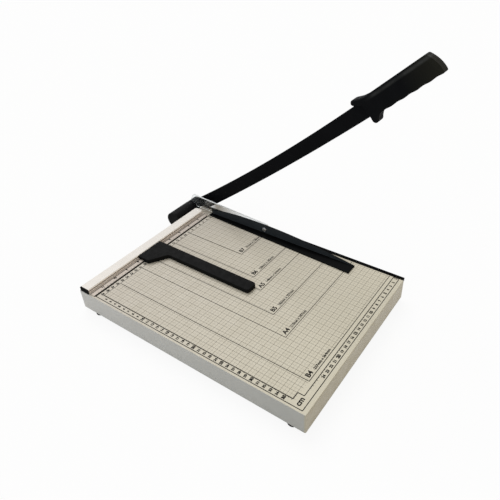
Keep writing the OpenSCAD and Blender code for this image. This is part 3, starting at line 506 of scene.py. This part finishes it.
# Metals and small plain pieces: two tones, two roughness values, grain size and depth
smallFinishes = {
    "zincPlate": {
        "dark": (0.62, 0.63, 0.65), "pale": (0.82, 0.83, 0.85), "rough": (0.22, 0.38),
        "grain": 900, "depth": 0.02, "metal": 1.0, "shine": 0.5,
    },
    "bushBronze": {
        "dark": (0.48, 0.31, 0.13), "pale": (0.66, 0.46, 0.22), "rough": (0.30, 0.46),
        "grain": 700, "depth": 0.02, "metal": 1.0, "shine": 0.5,
    },
    "paleNylon": {
        "dark": (0.60, 0.58, 0.52), "pale": (0.70, 0.68, 0.62), "rough": (0.48, 0.62),
        "grain": 500, "depth": 0.03, "metal": 0.0, "shine": 0.35,
    },
    "footRubber": {
        "dark": (0.0012, 0.0012, 0.0012), "pale": (0.0034, 0.0034, 0.0034), "rough": (0.74, 0.90),
        "grain": 800, "depth": 0.08, "metal": 0.0, "shine": 0.02,
    },
    "printInk": {
        "dark": (0.004, 0.0035, 0.003), "pale": (0.012, 0.011, 0.010), "rough": (0.50, 0.64),
        "grain": 1200, "depth": 0.01, "metal": 0.0, "shine": 0.05,
    },
}


def finishSmall(name):
    s = smallFinishes[name]
    f = Finish(name)
    f.put("Base Color", f.blend(f.noise(260, 4), s["dark"], s["pale"]))
    f.put("Roughness", f.span(f.noise(s["grain"] / 3, 3), 0.3, 0.7, *s["rough"]))
    f.put("Metallic", s["metal"])
    f.put("Specular IOR Level", s["shine"])
    f.bump(f.noise(s["grain"], 3), s["depth"] * mm, 0.6)
    return f.material


# Bare steel on the ground bevel: fine marks of the wheel across the edge
groundFinish = {"dark": (0.40, 0.41, 0.43), "pale": (0.66, 0.67, 0.69), "marks": (300, 1900, 300)}


def finishGround(s):
    f = Finish("groundSteel")
    marks = f.noise(1, 3, f.stretched(s["marks"]))
    f.put("Base Color", f.blend(marks, s["dark"], s["pale"]))
    f.put("Roughness", f.span(marks, 0.3, 0.7, 0.26, 0.46))
    f.put("Metallic", 1.0)
    f.bump(marks, 0.02 * mm, 0.5)
    return f.material


# Clear acrylic sheet with faint rubbing marks and frosted sawn edges
guardFinish = {
    "tint": (0.93, 0.955, 0.965), "rearTone": (0.30, 0.28, 0.245), "sawn": (0.90, 0.92, 0.93),
    "rearToneFrom": (-88, -20),    # mm behind the ruler edge, negative in front of it
    "thinnedFrom": (-12, -1),
    "clearFrom": (24, 46),
    "thinned": 0.4,
    "clear": 0.97, "frosted": 0.45, "ior": 1.49,
    "rubbing": (60, 24, 240), "rough": (0.01, 0.05), "sawnRough": 0.5,
}


def finishGuard(s):
    f = Finish("clearAcrylic")
    rubbed = f.noise(1, 5, f.stretched(s["rubbing"]))
    facing = f.axes(f.tree.nodes.new("ShaderNodeNewGeometry").outputs["True Normal"])[0]
    edge = f.span(f.maths("ABSOLUTE", facing), 0.6, 0.9, 1, 0)
    y = f.axes()[1]

    def ramp(limits, toLow, toHigh):
        return f.span(y, fenceY + limits[0] * mm, fenceY + limits[1] * mm, toLow, toHigh)

    rear = ramp(s["rearToneFrom"], 0, 1)
    rear = f.maths("MULTIPLY", rear, ramp(s["thinnedFrom"], 1, s["thinned"]))
    rear = f.maths("MULTIPLY", rear, ramp(s["clearFrom"], 1, 0))
    # A darker brownish tone over the rear part of the guard
    tint = f.blend(rear, s["tint"], s["rearTone"])
    f.put("Base Color", f.blend(edge, tint, s["sawn"]))
    f.put("Transmission Weight", f.span(edge, 0, 1, s["clear"], s["frosted"]))
    f.put("IOR", s["ior"])
    marks = f.span(rubbed, 0.35, 0.75, *s["rough"])
    f.put("Roughness", f.maths("MAXIMUM", marks, f.maths("MULTIPLY", edge, s["sawnRough"])))
    f.bump(rubbed, 0.01 * mm, 0.08)
    return f.material


bedPaint = finishBed(bedFinish, "bedPaint", True)
plainPaint = finishBed(bedFinish, "plainPaint", False)
blackCoat = finishCoat(coatFinish, "blackCoat")
stripCoat = finishCoat(stripFinish, "stripCoat")
clampCoat = finishCoat(clampFinish, "clampCoat")
blackMoulding = finishMoulding(mouldFinish, "blackMoulding")
capMoulding = finishMoulding(capFinish, "capMoulding")
gripMoulding = finishGrip(gripFinish)
blackCasting = finishCasting(castFinish)
fenceEnamel = finishFence(fenceFinish)
groundSteel = finishGround(groundFinish)
clearAcrylic = finishGuard(guardFinish)
zincPlate, bushBronze, paleNylon, footRubber, printInk = [finishSmall(n) for n in smallFinishes]
print("finishes ready")


softCrease = 35   # degrees, flatter edges are shaded smooth


# Rings of equal length become a closed skin
def skinRings(bm, rings):
    rows = [[bm.verts.new(p) for p in ring] for ring in rings]
    count = len(rows[0])
    for a, b in zip(rows, rows[1:]):
        for i in range(count):
            j = (i + 1) % count
            bm.faces.new((a[i], a[j], b[j], b[i]))
    bm.faces.new(rows[0][::-1])
    bm.faces.new(rows[-1])


def addPiece(name, bm, body, finish, stands=(), crease=softCrease):
    bmesh.ops.recalc_face_normals(bm, faces=bm.faces)
    mesh = bpy.data.meshes.new(name)
    bm.to_mesh(mesh)
    bm.free()
    mesh.shade_smooth()
    mesh.set_sharp_from_angle(angle=math.radians(crease))
    mesh.materials.append(finish)
    piece = bpy.data.objects.new(name, mesh)
    scene.collection.objects.link(piece)
    even = piece.modifiers.new("evenShading", "WEIGHTED_NORMAL")
    even.keep_sharp = True
    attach(piece, body)
    if stands:
        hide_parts(*stands)
    return piece


def arcPoints(center, radius, start, end, steps=8):
    turns = [math.radians(start + (end - start) * i / steps) for i in range(steps + 1)]
    return [(center[0] + radius * math.cos(t), center[1] + radius * math.sin(t)) for t in turns]


def bow(depth, t):
    return 4 * depth * t * (1 - t)


def wheel(x, y, z, radius, count=32):
    # Ring round an axis along X
    turns = [2 * math.pi * i / count for i in range(count)]
    return [(x, y + radius * math.cos(t), z + radius * math.sin(t)) for t in turns]


# The bed: one folded sheet with soft folds on three sides, open below
tray = {
    "corner": 2 * mm, "innerCorner": 0.6 * mm, "fold": 1.5 * mm, "innerFold": 0.8 * mm,
    "sheet": 1.2 * mm, "foldSteps": 5,
}


def trayOutline(s, side, right):
    r = max(s["corner"] - side, s["innerCorner"])
    x0, y0, y1 = bedLow.x + side, bedLow.y + side, bedHigh.y - side
    points = arcPoints((x0 + r, y1 - r), r, 90, 180) + arcPoints((x0 + r, y0 + r), r, 180, 270)
    return points + [(bedHigh.x - right, y0), (bedHigh.x - right, y1)]


def buildTray(s):
    def wall(inset):
        # Rings from the bottom edge to the top along the fold
        levels = s["foldSteps"]
        r = max(s["fold"] - inset, s["innerFold"])
        top = topZ - inset
        rows = [(inset, bedLow.z), (inset, (bedLow.z + top - r) / 2)]
        rows += [(inset + r - r * math.cos(a), top - r + r * math.sin(a))
                 for a in (math.pi / 2 * i / levels for i in range(levels + 1))]
        return [[(px, py, z) for px, py in trayOutline(s, side, inset)] for side, z in rows]

    bm = bmesh.new()
    inner = wall(s["sheet"])
    outer = wall(0)
    skinRings(bm, inner[::-1] + outer)
    addPiece("bedTray", bm, "bed", bedPaint, ["bed_tray"])


buildTray(tray)
print("bed folded")


# Print on the bed: frames of the paper sizes, rulers and numerals
# All places are in mm from the cutting edge and from the fence
printing = {
    "ink": 0.045, "sunk": 0.02, "patchInk": 0.02,
    "frameWidth": 1.0, "rulerWidth": 1.15, "tickWidth": 0.6, "fenceLine": 1.7,
    "sheets": {
        "B7": (91, 128), "B6": (128, 182), "A5": (148, 210),
        "B5": (182, 257), "A4": (210, 297), "B4": (257, 364),
    },
    "patch": (18.5, 10.5, 2.2, 1.6),         # bare ground of a name, from the frame's corner
    "label": (4.6, 5.9, 7.2, 0.4),           # place from the corner, height and boldness
    "sizeLabel": (21, 4.6, 4.0, 0.2),
    "numeral": (3.9, 0.34), "boldNumeral": (4.6, 0.45),   # height and boldness
    "nearEdge": 8.0,
    "tick": 5,                               # half a centimetre
    "frontRuler": (370.5, 380.0), "frontTicks": (1, 54), "frontTick": (1.4, 2.2),
    "frontRow": 375.7, "frontLast": 240,
    "leftRuler": (291.0, 299.5), "leftTicks": (2, 73), "leftTick": (1.3, 2.0),
    "leftRow": 4.2, "leftNumerals": (20, 350), "leftSize": 0.92, "sideStart": 0.4,
    "cornerCell": (279.5, 361.0), "unit": (289.4, 370.6, 7.6, 0.4),
    "fenceRow": 9.6, "fenceTicks": (4, 59), "fenceTick": (3.2, 4.2), "fenceNumeral": (6.6, 3.6, 0.32),
    "stripHeight": 1.6, "inchTicks": (5, 47), "inchTick": (-1.3, -2.8, -4.2),
    "quarterInch": 6.35, "inchNumeral": (-6.4, 3.9, 0.36),
}


def slab(bm, u0, v0, u1, v1, z0, z1):
    xs = sorted((cutX - u0 * mm, cutX - u1 * mm))
    ys = sorted((fenceY - v0 * mm, fenceY - v1 * mm))
    box = bmesh.ops.create_cube(bm, size=1)
    bmesh.ops.scale(bm, vec=(xs[1] - xs[0], ys[1] - ys[0], z1 - z0), verts=box["verts"])
    middle = ((xs[0] + xs[1]) / 2, (ys[0] + ys[1]) / 2, (z0 + z1) / 2)
    bmesh.ops.translate(bm, vec=middle, verts=box["verts"])


def stamp(bm, words, u, v, height, z, align="CENTER", bold=0.0):
    # A text curve becomes a thin raised print; its capitals are 0.7 of its size
    curve = bpy.data.curves.new("stamp", "FONT")
    curve.body = words
    curve.size = height * mm / 0.7
    curve.align_x = align
    curve.align_y = "CENTER"
    curve.extrude = printing["ink"] * mm / 2
    curve.offset = bold * mm
    curve.resolution_u = 3
    holder = bpy.data.objects.new("stamp", curve)
    letters = holder.to_mesh()
    place = (cutX - u * mm, fenceY - v * mm, z + printing["ink"] * mm / 2)
    letters.transform(Matrix.Translation(place))
    bm.from_mesh(letters)
    holder.to_mesh_clear()
    bpy.data.objects.remove(holder)
    bpy.data.curves.remove(curve)


def printBed(s):
    z0, z1 = topZ - s["sunk"] * mm, topZ + s["ink"] * mm
    lines, letters, patches = bmesh.new(), bmesh.new(), bmesh.new()

    def upright(u, v0, v1, width):
        slab(lines, u - width / 2, v0, u + width / 2, v1, z0, z1)

    def level(v, u0, u1, width):
        slab(lines, u0, v - width / 2, u1, v + width / 2, z0, z1)

    def numeral(value, u, v, size=1.0):
        # Every fifth centimetre is printed larger
        height, bold = s["boldNumeral" if value % 5 == 0 else "numeral"]
        stamp(letters, str(value), u, v, height * size, topZ, bold=bold)

    w, t, near = s["rulerWidth"], s["tickWidth"], s["nearEdge"]
    # Frames of the paper sizes, each with its name and its size in its corner
    for name, (wide, deep) in s["sheets"].items():
        upright(wide, s["fenceRow"], deep, s["frameWidth"])
        level(deep, near, wide, s["frameWidth"])
        u0, v0, u1, v1 = s["patch"]
        slab(patches, wide - u0, deep - v0, wide - u1, deep - v1, z0, topZ + s["patchInk"] * mm)
        u, v, height, bold = s["label"]
        stamp(letters, name, wide - u, deep - v, height, topZ, "LEFT", bold)
        u, v, height, bold = s["sizeLabel"]
        stamp(letters, "%dmm x %dmm" % (wide, deep), wide - u, deep - v, height, topZ, "LEFT", bold)
    # Ruler along the front
    front, edge = s["frontRuler"]
    left, side = s["leftRuler"]
    cellU, cellV = s["cornerCell"]
    level(front, near, cellU, w)
    level(edge, near, side, w)
    upright(near, front, edge, w)
    for i in range(*s["frontTicks"]):
        u = s["tick"] * i
        whole = i % 2 == 0
        upright(u, front, front + s["frontTick"][whole], t)
        if whole and u <= s["frontLast"]:
            numeral(u // 10, u, s["frontRow"])
    # Ruler along the left side
    upright(left, s["fenceRow"], cellV, w)
    upright(side, s["sideStart"], edge, w)
    first, last = s["leftNumerals"]
    for i in range(*s["leftTicks"]):
        v = s["tick"] * i
        whole = i % 2 == 0
        level(v, left, left + s["leftTick"][whole], t)
        if whole and first <= v <= last:
            numeral(v // 10, left + s["leftRow"], v, s["leftSize"])
    # Corner cell
    upright(cellU, cellV, front, w)
    level(cellV, cellU, left, w)
    u, v, height, bold = s["unit"]
    stamp(letters, "cm", u, v, height, topZ, bold=bold)
    # Row of numerals along the fence
    # Printed line along the fence, widened to stand for the shade at the strip's front edge: partly print,
    # partly painted shade
    level(s["fenceLine"] / 2, near, side, s["fenceLine"])
    level(s["fenceRow"], near, left, t)
    row, height, bold = s["fenceNumeral"]
    for i in range(*s["fenceTicks"]):
        u = s["tick"] * i
        whole = i % 2 == 0
        upright(u, s["fenceLine"], s["fenceTick"][whole], t)
        if whole:
            stamp(letters, str(u // 10), u, row, height, topZ, bold=bold)
    # Inches on the fence's ruler strip
    stripTop = topZ + s["stripHeight"] * mm
    start, short, long = s["inchTick"]
    row, height, bold = s["inchNumeral"]
    for i in range(*s["inchTicks"]):
        u = s["quarterInch"] * i
        whole = i % 4 == 0
        slab(lines, u - t / 2, start, u + t / 2, long if whole else short,
             stripTop - s["sunk"] * mm, stripTop + s["ink"] * mm)
        if whole:
            stamp(letters, str(i // 4), u, row, height, stripTop, bold=bold)
    addPiece("printedLines", lines, "bed", printInk)
    addPiece("printedNumerals", letters, "bed", printInk)
    addPiece("labelPatches", patches, "bed", plainPaint)


printBed(printing)
print("bed printed")


# The sabre blade, lofted from its root round the pivot to its tang inside the grip
sabre = {
    "length": 436, "edge0": 15.6, "edge1": 16.6, "edgeBelly": 4.4,
    "back0": 10.4, "back1": 8.2, "backDip": 6.5, "root": 15.7, "tang": 450,
    "groundFrom": 34, "grind": 6.0, "edge": 0.8, "edgeGap": 0.02,
    "grindStart": (20, 18),      # where the bevel starts and how long it takes to widen
    "leastGrind": (0.02, 0.05),
    "backRound": 0.7, "softShare": 0.3,
    "fineSteps": (2.0, 9), "steps": 70,
}


def onArm(x, s, n):
    # s runs along the arm from the pivot and n across it, both in mm
    c, d = math.cos(restAngle), math.sin(restAngle)
    return (x, pivot.y - (s * c - n * d) * mm, pivot.z + (s * d + n * c) * mm)


def buildSabre(b):
    r, full = b["root"], armHigh.x - armLow.x
    step, fine = b["fineSteps"]
    clear, steps = step * fine, b["steps"]
    stations = [-r * math.cos(math.radians(a)) for a in range(4, 90, 6)]
    stations += [step * i for i in range(fine)]
    stations += [clear + (b["length"] - clear) * i / steps for i in range(steps + 1)] + [b["tang"]]
    grindFrom, grindRun = b["grindStart"]
    x0, x1 = armLow.x, armHigh.x
    bm = bmesh.new()
    rings = []
    for s in stations:
        t = min(max(s / b["length"], 0), 1)
        ring = math.sqrt(max(r * r - s * s, 0))
        edgeAt = -b["edge0"] + (b["edge0"] - b["edge1"]) * t - bow(b["edgeBelly"], t)
        backAt = b["back0"] + (b["back1"] - b["back0"]) * t - bow(b["backDip"], t)
        low = min(edgeAt, -ring) if s >= 0 else -ring
        high = max(backAt, ring) if s >= 0 else ring
        ramp = min(max((s - grindFrom) / grindRun, b["leastGrind"][0]), 1)
        ramp = ramp * ramp * (3 - 2 * ramp)
        grind = max(b["grind"] * ramp, b["leastGrind"][1])
        edge = full - (full - b["edge"] * mm) * ramp - b["edgeGap"] * mm
        c = min(b["backRound"], (high - low) / 6)
        k = b["softShare"] * c
        section = [(x0, low), (x0 + edge, low), (x1, low + grind), (x1, high - c), (x1 - k * mm, high - k),
                   (x1 - c * mm, high), (x0 + c * mm, high), (x0 + k * mm, high - k), (x0, high - c)]
        rings.append([onArm(x, s, n) for x, n in section])
    skinRings(bm, rings)
    blade = addPiece("sabreBlade", bm, "arm", blackCoat, ["blade_arm"], crease=24)
    blade.data.materials.append(groundSteel)
    count = len(rings[0])
    for i, s in enumerate(stations[:-2]):
        if s > b["groundFrom"]:
            blade.data.polygons[i * count + 1].material_index = 1   # between the edge and the outer face


buildSabre(sabre)
print("blade ground")


# The grip: two moulded halves with a thumb lobe, a hand guard, shallow finger grooves and a wide bevel
grip = {
    "front": 440.6, "brow": 12.95, "chin": -14.0, "neck": (437.3, 1.8),
    "thumb": (428.4, 11.8, 4.6), "guard": (445.6, -23.0, 5.0),   # middle and radius
    "topFront": (449.8, 12.0), "topEnd": (548.0, 17.2),
    "lowFront": (455.6, -18.4), "lowEnd": (558.0, -13.8),
    "bulge": 3.0, "fingers": 5, "groove": 0.9, "spacing": 1.0,
    "bevel": 5.0, "lobeBevel": 1.5, "bevelDepth": 2.6, "bevelFrom": (449, 462),
    "screws": (462, 508), "screwRow": -4.2, "recess": 2.6, "recessRadius": 3.7,
}
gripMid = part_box("grip_inner_half")[1].x
gripOuterLow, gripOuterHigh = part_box("grip_outer_half")


def gripOutline(g):
    points = [g["neck"], (g["front"], g["chin"])]
    points += arcPoints(g["guard"][:2], g["guard"][2], 180, 350, 10)
    points += [g["lowFront"]]
    (s0, n0), (s1, n1) = g["lowFront"], g["lowEnd"]
    for i in range(1, 60):
        t = i / 60
        groove = g["groove"] * (1 - math.cos(2 * math.pi * g["fingers"] * t)) / 2
        points.append((s0 + (s1 - s0) * t, n0 + (n1 - n0) * t + groove))
    (e0, f0), (e1, f1) = g["lowEnd"], g["topEnd"]
    for i in range(13):
        points.append((e0 + (e1 - e0) * i / 12 + bow(g["bulge"], i / 12), f0 + (f1 - f0) * i / 12))
    points += [g["topFront"], (g["front"], g["brow"])]
    points += arcPoints(g["thumb"][:2], g["thumb"][2], 90, 270, 10)
    # Even spacing, then a little smoothing of the corners
    path = [Vector(p) for p in points] + [Vector(points[0])]
    even, left = [], 0.0
    for a, b in zip(path, path[1:]):
        d = (b - a).length
        while left < d:
            even.append(a + (b - a) * (left / d))
            left += g["spacing"]
        left -= d
    for _ in range(3):
        even = [(even[i - 1] + 2 * p + even[(i + 1) % len(even)]) / 4 for i, p in enumerate(even)]
    return even


def drawnIn(outline, insets):
    # Moves each point inwards; the points of a sharp corner gather at its inner end
    count = len(outline)
    moved = []
    for i, p in enumerate(outline):
        along = (outline[(i + 1) % count] - outline[i - 1]).normalized()
        moved.append(p + Vector((-along.y, along.x)) * insets[i])
    fits = [min((q - p).length for p in outline) >= 0.98 * insets[i] for i, q in enumerate(moved)]
    result = []
    for i in range(count):
        before = next(k for k in range(count) if fits[i - k])
        after = next(k for k in range(count) if fits[(i + k) % count])
        share = before / (before + after) if before else 0
        result.append(moved[i - before].lerp(moved[(i + after) % count], share))
    return result


def buildGripHalf(g, name, node, side):
    outline = gripOutline(g)
    start, full = g["bevelFrom"]
    widths = []
    for p in outline:
        t = min(max((p.x - start) / (full - start), 0), 1)
        widths.append(g["lobeBevel"] + (g["bevel"] - g["lobeBevel"]) * t * t * (3 - 2 * t))
    thick = (gripOuterHigh.x - gripOuterLow.x) / mm
    deep = thick - g["bevelDepth"]
    # Distance from the seam, and share of the bevel's width
    rows = [(0.0, 0.06), (0.3, 0.0), (deep - 0.3, 0.0), (deep + 0.15, 0.07),
            (thick - 0.2, 0.92), (thick, 1.1)]
    bm = bmesh.new()
    rings = []
    for off, share in rows:
        x = gripMid + side * off * mm
        rings.append([onArm(x, p.x, p.y) for p in drawnIn(outline, [share * w for w in widths])])
    skinRings(bm, rings)
    return addPiece(name, bm, "arm", gripMoulding, [node])


def cutRecesses(piece, g):
    # Round recesses for the heads of the grip's screws
    bm = bmesh.new()
    for s in g["screws"]:
        x, y, z = onArm(gripOuterHigh.x, s, g["screwRow"])
        r = g["recessRadius"] * mm
        skinRings(bm, [wheel(x - g["recess"] * mm, y, z, r), wheel(x + 1 * mm, y, z, r)])
    bmesh.ops.recalc_face_normals(bm, faces=bm.faces)
    mesh = bpy.data.meshes.new("recessCutter")
    bm.to_mesh(mesh)
    bm.free()
    cutter = bpy.data.objects.new("recessCutter", mesh)
    scene.collection.objects.link(cutter)
    trim = piece.modifiers.new("trim", "BOOLEAN")
    trim.operation = "DIFFERENCE"
    trim.object = cutter
    piece.modifiers.move(1, 0)
    piece.modifiers["evenShading"].show_viewport = False
    bpy.context.view_layer.update()
    cut = bpy.data.meshes.new_from_object(piece.evaluated_get(bpy.context.evaluated_depsgraph_get()))
    piece.modifiers.remove(trim)
    piece.modifiers["evenShading"].show_viewport = True
    cut.shade_smooth()
    cut.set_sharp_from_angle(angle=math.radians(softCrease))
    piece.data = cut
    bpy.data.objects.remove(cutter)


buildGripHalf(grip, "gripInner", "grip_inner_half", -1)
cutRecesses(buildGripHalf(grip, "gripOuter", "grip_outer_half", 1), grip)
print("grip moulded")


# The paper clamp: a folded angle with an arched upright, a widening foot and a welded stud for the guard
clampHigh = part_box("clamp_bar")[1]
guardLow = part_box("clear_guard")[0]
clamp = {
    "lift": 0.3, "rear": 3, "front": 306, "rearFoot": 10.2, "frontFoot": 22.2,
    "footSheet": 1.6, "upright": 2.0, "rearHeight": 8.4, "frontHeight": 2.2,
    "arch": 18.6, "peak": 0.44, "steps": 60,
    "foldRound": 2.0, "lowFold": 0.8, "soft": 0.5, "hollow": 1.2, "footEdge": 0.3,
    "stud": (60, 8.4, 2.0), "studRoot": 1.0, "studEdge": 0.4,
}


def buildClamp(c):
    low = topZ + c["lift"] * mm
    xr = guardLow.x
    xu = xr - c["upright"] * mm
    floor = low + c["footSheet"] * mm
    skew = math.log(0.5) / math.log(c["peak"])

    def chord(t):
        return c["rearHeight"] + (c["frontHeight"] - c["rearHeight"]) * t

    bm = bmesh.new()
    rings = []
    for i in range(c["steps"] + 1):
        t = i / c["steps"]
        y = fenceY - (c["rear"] + (c["front"] - c["rear"]) * t) * mm
        xl = xr - (c["rearFoot"] + (c["frontFoot"] - c["rearFoot"]) * t) * mm
        top = topZ + (chord(t) + bow(c["arch"] - chord(c["peak"]), t ** skew)) * mm
        head = top - floor
        soft = min(c["soft"] * mm, head * 0.4)
        hollow = min(c["hollow"] * mm, head * 0.4)
        fold = c["foldRound"] * mm if head > 2 * mm else c["lowFold"] * mm
        k = c["footEdge"] * mm
        section = [(xl, low + k), (xl + k, low)]
        section += arcPoints((xr - fold, low + fold), fold, 270, 360, 5)
        section += arcPoints((xr - soft, top - soft), soft, 0, 90, 3)
        section += arcPoints((xu + soft, top - soft), soft, 90, 180, 3)
        section += arcPoints((xu - hollow, floor + hollow), hollow, 0, -90, 4)
        section += [(xl + k, floor), (xl, floor - k)]
        rings.append([(x, y, z) for x, z in section])
    skinRings(bm, rings)
    at, up, r = c["stud"]
    y, z, r = fenceY - at * mm, topZ + up * mm, r * mm
    k = c["studEdge"] * mm
    skinRings(bm, [wheel(xr - c["studRoot"] * mm, y, z, r), wheel(clampHigh.x - k, y, z, r),
                   wheel(clampHigh.x, y, z, r - k)])
    addPiece("clampBar", bm, "clamp", clampCoat, ["clamp_bar"], crease=28)


buildClamp(clamp)
print("clamp folded")


# The paper stop: a moulded L that slides along the fence, with soft upper edges
stopLow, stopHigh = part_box("paper_stop")
stopper = {
    "arm": 21.8, "head": 14, "neck": 33, "corner": 5.0, "leastCorner": 0.4,
    "soft": 1.0, "softSteps": 4, "lowEdge": 0.25, "footEdge": 0.3, "step": 2.2, "clear": 0.6,
}


def stopOutline(c, inset, back):
    i = inset
    r = c["corner"] * mm
    x0, x1, tip = stopLow.x, stopHigh.x, stopLow.y
    armX = x1 - c["arm"] * mm
    headY = fenceY - c["head"] * mm
    neckY = fenceY - c["neck"] * mm
    rr = max(r - i, c["leastCorner"] * mm)
    points = [(x1 - i, back), (x0 + i, back)]
    points += arcPoints((x0 + r, headY + r), rr, 180, 240, 6)
    points += arcPoints((armX - r * 1.3, neckY - r * 0.15), r * 1.3 + i, 62, 0, 8)
    points += arcPoints((armX + r, tip + r), rr, 180, 270, 8)
    points += arcPoints((x1 - r, tip + r), rr, 270, 360, 8)
    return points


def buildStop(c):
    bm = bmesh.new()
    soft = c["soft"] * mm
    lift = topZ + c["step"] * mm
    k = c["lowEdge"] * mm
    rows = [(k, lift), (0.0, lift + k), (0.0, stopHigh.z - soft)]
    rows += [(soft - soft * math.cos(a), stopHigh.z - soft + soft * math.sin(a))
             for a in (math.pi / 2 * i / c["softSteps"] for i in range(1, c["softSteps"] + 1))]
    skinRings(bm, [[(x, y, z) for x, y in stopOutline(c, inset, stopHigh.y - inset)] for inset, z in rows])
    # The arm reaches down to the bed in front of the ruler strip
    back = fenceY - c["clear"] * mm
    k = c["footEdge"] * mm
    rows = [(k, stopLow.z), (0.01 * mm, stopLow.z + k), (0.01 * mm, lift + 0.6 * mm)]
    skinRings(bm, [[(x, y, z) for x, y in stopOutline(c, inset, back)] for inset, z in rows])
    addPiece("paperStop", bm, "stop", blackMoulding, ["paper_stop"])


buildStop(stopper)
print("stop moulded")


# CAD pieces that keep their shape: finish and softened edges in mm
nodeFinishes = {
    "foot_rails": (plainPaint, 0.0),
    "rubber_feet": (footRubber, 0.25),
    "foot_screws": (zincPlate, 0.1),
    "fence_rail": (fenceEnamel, 0.3),
    "fence_end_cap": (capMoulding, 0.35),
    "fence_screws": (zincPlate, 0.0),
    "fixed_blade": (stripCoat, 0.25),
    "fixed_blade_screws": (zincPlate, 0.1),
    "pivot_barrel": (blackCasting, 0.9),
    "barrel_end_cap": (blackMoulding, 1.2),
    "barrel_bush": (bushBronze, 0.0),
    "barrel_screws": (zincPlate, 0.1),
    "backing_plate": (zincPlate, 0.2),
    "arm_hub": (blackCoat, 0.5),
    "pivot_bolt": (zincPlate, 0.3),
    "head_washer": (zincPlate, 0.2),
    "pivot_spring": (zincPlate, 0.0),
    "thrust_washer": (zincPlate, 0.0),
    "lock_nut": (zincPlate, 0.0),
    "grip_screws": (zincPlate, 0.1),
    "clamp_bush": (blackMoulding, 0.5),
    "clear_guard": (clearAcrylic, 0.2),
    "guard_screw": (zincPlate, 0.15),
    "guard_nuts": (zincPlate, 0.15),
    "stop_runner": (paleNylon, 0.15),
    "stop_screws": (zincPlate, 0.0),
}


softEdge = {"segments": 2, "sharperThan": 40}


def dressNode(name, finish, soft):
    node = frame["nodes"][name]
    node.data.materials.clear()
    node.data.materials.append(finish)
    if soft:
        edge = node.modifiers.new("softEdges", "BEVEL")
        edge.width = soft * mm
        edge.segments = softEdge["segments"]
        edge.limit_method = "ANGLE"
        edge.angle_limit = math.radians(softEdge["sharperThan"])
        even = node.modifiers.new("evenShading", "WEIGHTED_NORMAL")
        even.keep_sharp = True


for nodeName, (finish, soft) in nodeFinishes.items():
    dressNode(nodeName, finish, soft)
print("CAD pieces dressed")
